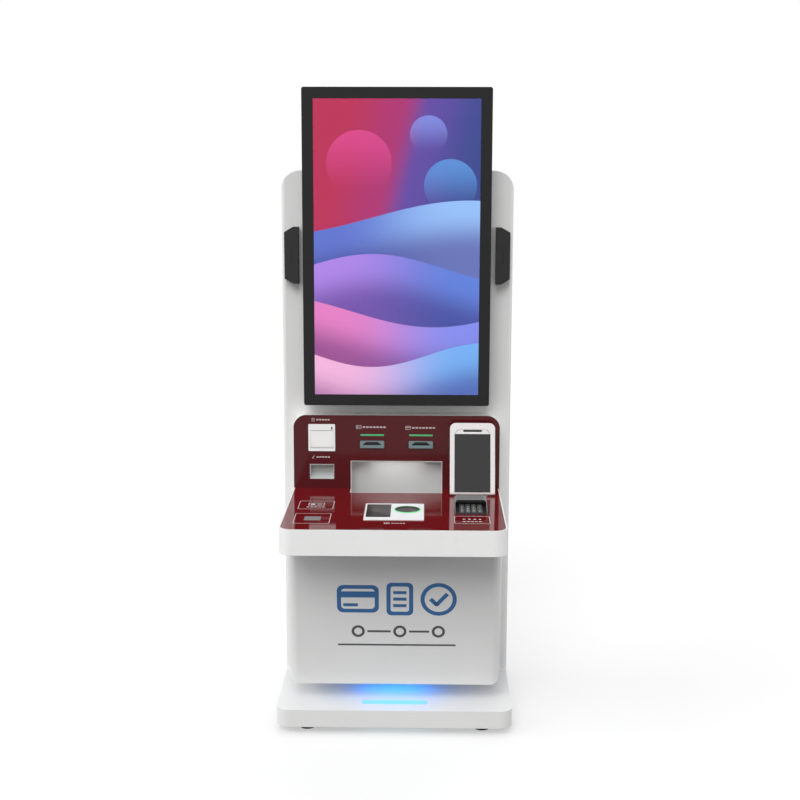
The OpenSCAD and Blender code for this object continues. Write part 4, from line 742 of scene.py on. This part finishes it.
def tick_icon(flat, cx, cy, r, line):
    """Tick in a circle."""
    flat.ring(disc(cx, cy, r, FINE_STEPS), disc(cx, cy, r - line, FINE_STEPS))
    flat.prism(stroke(cx - r * 0.45, cy + r * 0.02, cx - r * 0.08, cy - r * 0.36, line))
    flat.prism(stroke(cx - r * 0.14, cy - r * 0.36, cx + r * 0.48, cy + r * 0.34, line))


# Fascia: x and z of its signs, and the dashes beside them

PRINTER_SIGN = (-274.0, 961.0)
SLIP_SIGN = (-273.5, 836.0)
PAPER_DASHES_X = -263.5
PAPER_LINE = 1.1
CARD_SIGNS = ((-124.0, 937.0, False), (38.0, 935.5, True))
CARD_DASHES_ASIDE = 13.0


def fascia_labels(finish):
    """Small signs and dashes over the slots."""
    flat = Flat(Plane((0.0, FASCIA_Y, 0.0), *FRONT))
    sheet_icon(flat, *PRINTER_SIGN, 9.0, 11.0, PAPER_LINE)
    pen_icon(flat, *SLIP_SIGN, 10.0, PAPER_LINE)
    for _, z in (PRINTER_SIGN, SLIP_SIGN):
        dashes(flat, PAPER_DASHES_X, z, 5, 7.0, 5.0, 2.2)
    for x, z, banded in CARD_SIGNS:
        card_icon(flat, x, z, 18.0, 12.5, 1.2, banded)
        dashes(flat, x + CARD_DASHES_ASIDE, z, 7, 8.6, 5.4, 2.6)
    flat.piece("fascia_labels", finish["soft_ink"], "frame")


# Card slots: the bezels' face before the fascia, their middles, and the finger recess over a slot
BEZEL_PROUD = 4.0
CARD_SLOTS_X = (-80.0, 80.0)
CARD_SLOT_Z = 880.0
RECESS_FOOT = 2.6
RECESS_MID = 5.2
RECESS_TOP = 9.0
RECESS_HALF_W = 26.3
RECESS_SLOPE = 1.25
LINER_HIGH = 0.3


def card_slot_liner(name, low, high, mat):
    """Lines both finger recesses between two heights over the slot."""
    flat = Flat(Plane((0.0, FASCIA_Y - BEZEL_PROUD * MM, 0.0), *FRONT))
    wide, narrow = (RECESS_HALF_W - (z - RECESS_FOOT) * RECESS_SLOPE for z in (low, high))
    foot, head = CARD_SLOT_Z + low, CARD_SLOT_Z + high
    for x in CARD_SLOTS_X:
        flat.prism([(x - wide, foot), (x + wide, foot), (x + narrow, head), (x - narrow, head)],
                   SUNK, LINER_HIGH)
    flat.piece(name, mat, "frame")


def card_slot_liners(finish):
    """Dark grey liners of the finger recesses over the card slots, and black painted shade of the
    slot's depth next to the slot.
    """
    card_slot_liner("card_slot_liners", RECESS_MID, RECESS_TOP, finish["dark_plastic"])
    # Black nearest the slot: painted shade of the slot's depth
    card_slot_liner("card_slot_painted_shade", RECESS_FOOT, RECESS_MID, finish["driver"])


# Counter: x from the middle, y from the column's front

LEFT_X = -247.0
FRAME_R = 5.0
FRAME_LINE = 1.7
INSERT_AT = (-246.0, -457.0)
PIN_SIGN_X = 237.0
PIN_DOTS = [(213.0 + 16.0 * k, -455.0) for k in range(4)]
SCAN_SIGN = (-20.0, -508.0)


def counter_labels(finish):
    """Framed signs on the counter, and its grey insert."""
    plane = Plane((0.0, FACE_Y, COUNTER_Z), *TOP)
    flat = Flat(plane)
    frame_line(flat, LEFT_X, -291.5, 110.0, 103.0, FRAME_R, FRAME_LINE)
    card_icon(flat, LEFT_X, -282.0, 50.0, 34.0, 2.2, False)
    dashes(flat, -276.0, -317.0, 5, 9.6, 7.0, 2.5)
    frame_line(flat, LEFT_X, -456.5, 110.0, 119.0, FRAME_R, FRAME_LINE)
    frame_line(flat, PIN_SIGN_X, -463.5, 108.0, 87.0, FRAME_R, FRAME_LINE)
    for x, y in PIN_DOTS:
        flat.prism(disc(x, y, 4.6, 20))
    dashes(flat, 208.0, -482.0, 5, 9.6, 6.0, 2.5)
    frame_line(flat, *SCAN_SIGN, 17.0, 14.0, 3.0, 2.4)
    flat.prism(disc(*SCAN_SIGN, 2.6, 16))
    dashes(flat, -6.0, SCAN_SIGN[1], 5, 6.4, 7.0, 2.2)
    flat.piece("counter_labels", finish["ink"], "frame")

    insert = Flat(plane)
    insert.prism(round_rect(*INSERT_AT, 48.0, 44.0, 3.0), SUNK, 0.25)
    insert.ring(round_rect(*INSERT_AT, 50.6, 46.6, 4.0), round_rect(*INSERT_AT, 48.2, 44.2, 3.0),
                SUNK, 0.4)
    insert.piece("counter_insert", finish["insert_grey"], "frame")


# Cabinet: foot and head of its leaning front, and the signs' places on it

CABINET_FOOT = Vector((0.0, FACE_Y - 0.292, 0.142))
CABINET_HEAD = Vector((0.0, FACE_Y - 0.376, 0.653))
SIGNS_X = (-115.0, 17.0, 139.0)
SIGNS_UP = 304.0
SIGN_LINE = 13.0
STEPS_UP = 190.0
STEP_GAP = 29.0
UNDERLINE_UP = 142.0


def cabinet_icons(finish):
    """Three plain pictograms over a row of linked steps."""
    plane = Plane(CABINET_FOOT, (1, 0, 0), CABINET_HEAD - CABINET_FOOT)
    flat = Flat(plane)
    card_icon(flat, SIGNS_X[0], SIGNS_UP, 132.0, 96.0, SIGN_LINE, True)
    sheet_icon(flat, SIGNS_X[1], SIGNS_UP, 84.0, 114.0, SIGN_LINE)
    tick_icon(flat, SIGNS_X[2], SIGNS_UP, 57.0, SIGN_LINE)
    flat.piece("cabinet_icons", finish["blue_ink"], "frame")

    linked = Flat(plane)
    for x in SIGNS_X:
        linked.ring(disc(x, STEPS_UP, 21.0, FINE_STEPS), disc(x, STEPS_UP, 12.5, FINE_STEPS))
    for start, end in zip(SIGNS_X, SIGNS_X[1:]):
        linked.prism(stroke(start + STEP_GAP, STEPS_UP, end - STEP_GAP, STEPS_UP, 7.0))
    linked.prism(round_rect(7.0, UNDERLINE_UP, 375.0, 6.0, 2.9))
    linked.piece("cabinet_steps", finish["grey_ink"], "frame")


# PIN pad marks, in the dishes of the keys

PIN_ORIGIN = Vector((0.236, FACE_Y - 0.397, COUNTER_Z))
PIN_TILT = math.radians(5.0)
KEY_PITCH = 18.3
KEY_FRONT = 15.05
KEY_TOP = 4.0
KEY_DISH_Z = 2.7
KEY_MARKS = ["1", "2", "3", "cancel", "4", "5", "6", "clear", "7", "8", "9", "enter", "*", "0", "#",
             "blank"]
GLYPH_SIZE = 9.5
GLYPH_HALF = 0.15
GLYPH_MID = 0.12
WELD = 0.001
MARK_HIGH = 0.25


def key_plane(i):
    """Plane in a key's dish."""
    column, row = i % 4, i // 4
    turn = Matrix.Rotation(PIN_TILT, 3, "X")
    x, y = (column - 1.5) * KEY_PITCH, KEY_FRONT + (3 - row) * KEY_PITCH
    spot = turn @ (Vector((x, y, KEY_DISH_Z)) * MM)
    origin = PIN_ORIGIN + Vector((0.0, 0.0, KEY_TOP * MM)) + spot
    return Plane(origin, (1, 0, 0), turn @ Vector((0, 1, 0)))


def glyph_mesh(text):
    """Plain digit as a closed mesh, about the origin."""
    curve = bpy.data.curves.new("glyph", "FONT")
    curve.body = text
    curve.size = GLYPH_SIZE * MM
    curve.align_x = "CENTER"
    curve.align_y = "CENTER"
    curve.extrude = GLYPH_HALF * MM
    holder = bpy.data.objects.new("glyph", curve)
    SCENE.collection.objects.link(holder)
    bpy.context.view_layer.update()
    shown = holder.evaluated_get(bpy.context.evaluated_depsgraph_get())
    mesh = bpy.data.meshes.new_from_object(shown)
    bpy.data.objects.remove(holder)
    bpy.data.curves.remove(curve)
    welded = bmesh.new()
    welded.from_mesh(mesh)
    bmesh.ops.remove_doubles(welded, verts=welded.verts, dist=WELD * MM)
    welded.to_mesh(mesh)
    welded.free()
    return mesh


def draw_sign(flat, mark):
    """Draws the sign of a key without a digit, and names its ink."""
    if mark == "cancel":
        flat.prism(stroke(-3, -3, 3, 3, 1.3), 0.0, MARK_HIGH)
        flat.prism(stroke(-3, 3, 3, -3, 1.3), 0.0, MARK_HIGH + 0.01)
        return "red_ink"
    if mark == "clear":
        flat.prism([(-3.4, 0), (1.6, -3.2), (1.6, 3.2)], 0.0, MARK_HIGH)
        return "amber_ink"
    if mark == "enter":
        flat.ring(disc(0, 0, 3.4), disc(0, 0, 2.2), 0.0, MARK_HIGH)
        return "green_ink"
    flat.prism(round_rect(0, 0, 6.4, 1.4, 0.6, 3), 0.0, MARK_HIGH)
    return "ink"


def key_marks(finish):
    """Digits and signs that ride the keys."""
    for i, mark in enumerate(KEY_MARKS):
        name, body = "key_mark_%d" % (i + 1), "key_%d" % (i + 1)
        plane = key_plane(i)
        if len(mark) == 1:
            mesh = glyph_mesh(mark)
            turn = Matrix((plane.right, plane.up, plane.out)).transposed().to_4x4()
            mesh.transform(Matrix.Translation(plane.at(0.0, 0.0, GLYPH_MID)) @ turn)
            add_piece(name, mesh, finish["ink"], body)
        else:
            flat = Flat(plane)
            color = draw_sign(flat, mark)
            flat.piece(name, finish[color], body)


# Face terminal: its tilt pin, its lean and its details, measured up from the pin

TERM_PIVOT = Vector((0.2474, FACE_Y - 0.1546, COUNTER_Z + 0.009))
TERM_LEAN = math.radians(-15.0)
TERM_FRONT = 7.0
TERM_BACK = 7.0
SCREEN_HALF_W = 58.0
SCREEN_TOP = 190.0
BROW_SIDE = 11.0
BROW_H = 14.0
BROW_DEPTH = 1.0
WINDOW_UP = SCREEN_TOP + 10.25
LENS_X = 16.0
BACK_UP = 118.0
BACK_PLATE = 0.3
VENT_X = 22.0
VENT_UP = 140.0
VENT_ROWS = 6
VENT_PITCH = 6.0


def terminal_plane(depth, outward):
    """Plane at a depth from the tilt pin; outward is -1 at the front and 1 at the back."""
    turn = Matrix.Rotation(TERM_LEAN, 3, "X")
    origin = TERM_PIVOT + turn @ (Vector((0.0, outward * depth, 0.0)) * MM)
    return Plane(origin, (-outward, 0, 0), turn @ Vector((0, 0, 1)))


def terminal_front(finish):
    """Lens rings in the camera window, and two thin dark lines beside it as painted shadow along
    the brow recess's edges.
    """
    plane = terminal_plane(TERM_FRONT - BROW_DEPTH, -1)
    lens = Flat(plane)
    for x in (-LENS_X, LENS_X):
        lens.ring(disc(x, WINDOW_UP, 2.6), disc(x, WINDOW_UP, 1.7), SUNK, 0.3)
        lens.prism(disc(x, WINDOW_UP, 1.6), SUNK, 0.12)
    lens.prism(disc(0.0, WINDOW_UP, 1.2, 16), SUNK, 0.2)
    lens.piece("terminal_lenses", finish["dark_glass"], "terminal")

    # Painted shadow: dark lines along the slanted edges of the shallow brow recess
    brow = Flat(plane)
    foot = SCREEN_TOP + 1.0
    for side in (-1, 1):
        brow.prism(stroke(side * (SCREEN_HALF_W - 0.6), foot + 0.3,
                          side * (SCREEN_HALF_W - BROW_SIDE - 0.6), foot + BROW_H - 0.4, 0.9),
                   SUNK, 0.3)
    brow.piece("terminal_brow_painted_shadow", finish["grey_ink"], "terminal")


def terminal_back(finish):
    """Framed panel with two columns of black vent lines, painted shade of vent slots."""
    back = Flat(terminal_plane(TERM_BACK, 1))
    back.ring(round_rect(0.0, BACK_UP, 118.0, 150.0, 8.0),
              round_rect(0.0, BACK_UP, 114.0, 146.0, 6.5), SUNK, 0.8)
    back.prism(round_rect(0.0, BACK_UP, 114.4, 146.4, 6.5), SUNK, BACK_PLATE)
    back.piece("terminal_back_panel", finish["terminal"], "terminal")

    # Black strips on the plate: painted shade where vent slots would be open
    vents = Flat(terminal_plane(TERM_BACK + BACK_PLATE, 1))
    for row in range(VENT_ROWS):
        for side in (-1, 1):
            spot = round_rect(side * VENT_X, VENT_UP + row * VENT_PITCH, 34.0, 2.2, 1.0, 3)
            vents.prism(spot, SUNK, 0.12)
    vents.piece("terminal_back_vent_painted_shade", finish["driver"], "terminal")


# Mains inlet in the rear panel: its place beside the middle, its opening and the liner's walls

INLET_X = -28.0
INLET_W = 27.0
INLET_H = 20.0
INLET_DEPTH = 18.0
INLET_WALL = 0.6
INLET_FLANGE = 2.5
FLANGE_HIGH = 0.8


def inlet_rect(more, r):
    """The inlet's opening, wider and taller by so much."""
    return round_rect(0.0, 0.0, INLET_W + more, INLET_H + more, r)


def mains_inlet(finish):
    """Black liner of the mains inlet, with a flange on the panel."""
    low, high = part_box("power_supply")
    flat = Flat(Plane((INLET_X * MM, high[1], (low[2] + high[2]) / 2), *REAR))
    mouth = inlet_rect(-2 * INLET_WALL, 1.0)
    flat.ring(inlet_rect(2 * INLET_FLANGE, 2.0), mouth, SUNK, FLANGE_HIGH)
    flat.ring(inlet_rect(0.1, 0.5), mouth, -INLET_DEPTH, -0.1)
    flat.prism(inlet_rect(-INLET_WALL, 0.5), -INLET_DEPTH - 0.1, 0.5 - INLET_DEPTH)
    flat.piece("mains_inlet_liner", finish["dark_plastic"], "frame")


# Screws: the heads' faces, and how far each set's four screws stand from its middle

REAR_HEADS_Y = FACE_Y + 0.2144
STAND_HEADS_Z = COUNTER_Z + 0.0064
FAN_SCREWS = (0.0, 1600.0, 52.0, 52.0)
SUPPLY_SCREWS = (0.0, 143.0, 71.0, 39.0)
STAND_SCREWS = (247.4, -116.6, 48.0, 16.0)
CROSS_HALF = 2.2
CROSS_LINE = 0.9
CROSS_HIGH = 0.05


def crosses(flat, cx, cy, dx, dy):
    """Black crosses on a set of four screw heads, painted shade of their cross recesses."""
    for sx in (-1, 1):
        for sy in (-1, 1):
            x, y = cx + sx * dx, cy + sy * dy
            flat.prism(stroke(x - CROSS_HALF, y, x + CROSS_HALF, y, CROSS_LINE),
                       SUNK, CROSS_HIGH)
            flat.prism(stroke(x, y - CROSS_HALF, x, y + CROSS_HALF, CROSS_LINE),
                       SUNK, CROSS_HIGH + 0.01)


def screw_crosses(finish):
    """Black crosses on the screws of the rear and of the terminal's stand, painted shade of the
    cross recesses.
    """
    rear = Flat(Plane((0.0, REAR_HEADS_Y, 0.0), *REAR))
    crosses(rear, *FAN_SCREWS)
    crosses(rear, *SUPPLY_SCREWS)
    rear.piece("rear_screw_painted_shade", finish["driver"], "frame")
    stand = Flat(Plane((0.0, FACE_Y, STAND_HEADS_Z), *TOP))
    crosses(stand, *STAND_SCREWS)
    stand.piece("stand_screw_painted_shade", finish["driver"], "frame")


def main():
    """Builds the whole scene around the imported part."""
    add_camera()
    add_studio()
    finish = {**coats(), **plastics(), **metals(), **glass_and_lights(), **inks()}
    dress_nodes(finish)
    fascia_labels(finish)
    card_slot_liners(finish)
    counter_labels(finish)
    cabinet_icons(finish)
    key_marks(finish)
    terminal_front(finish)
    terminal_back(finish)
    mains_inlet(finish)
    screw_crosses(finish)


main()
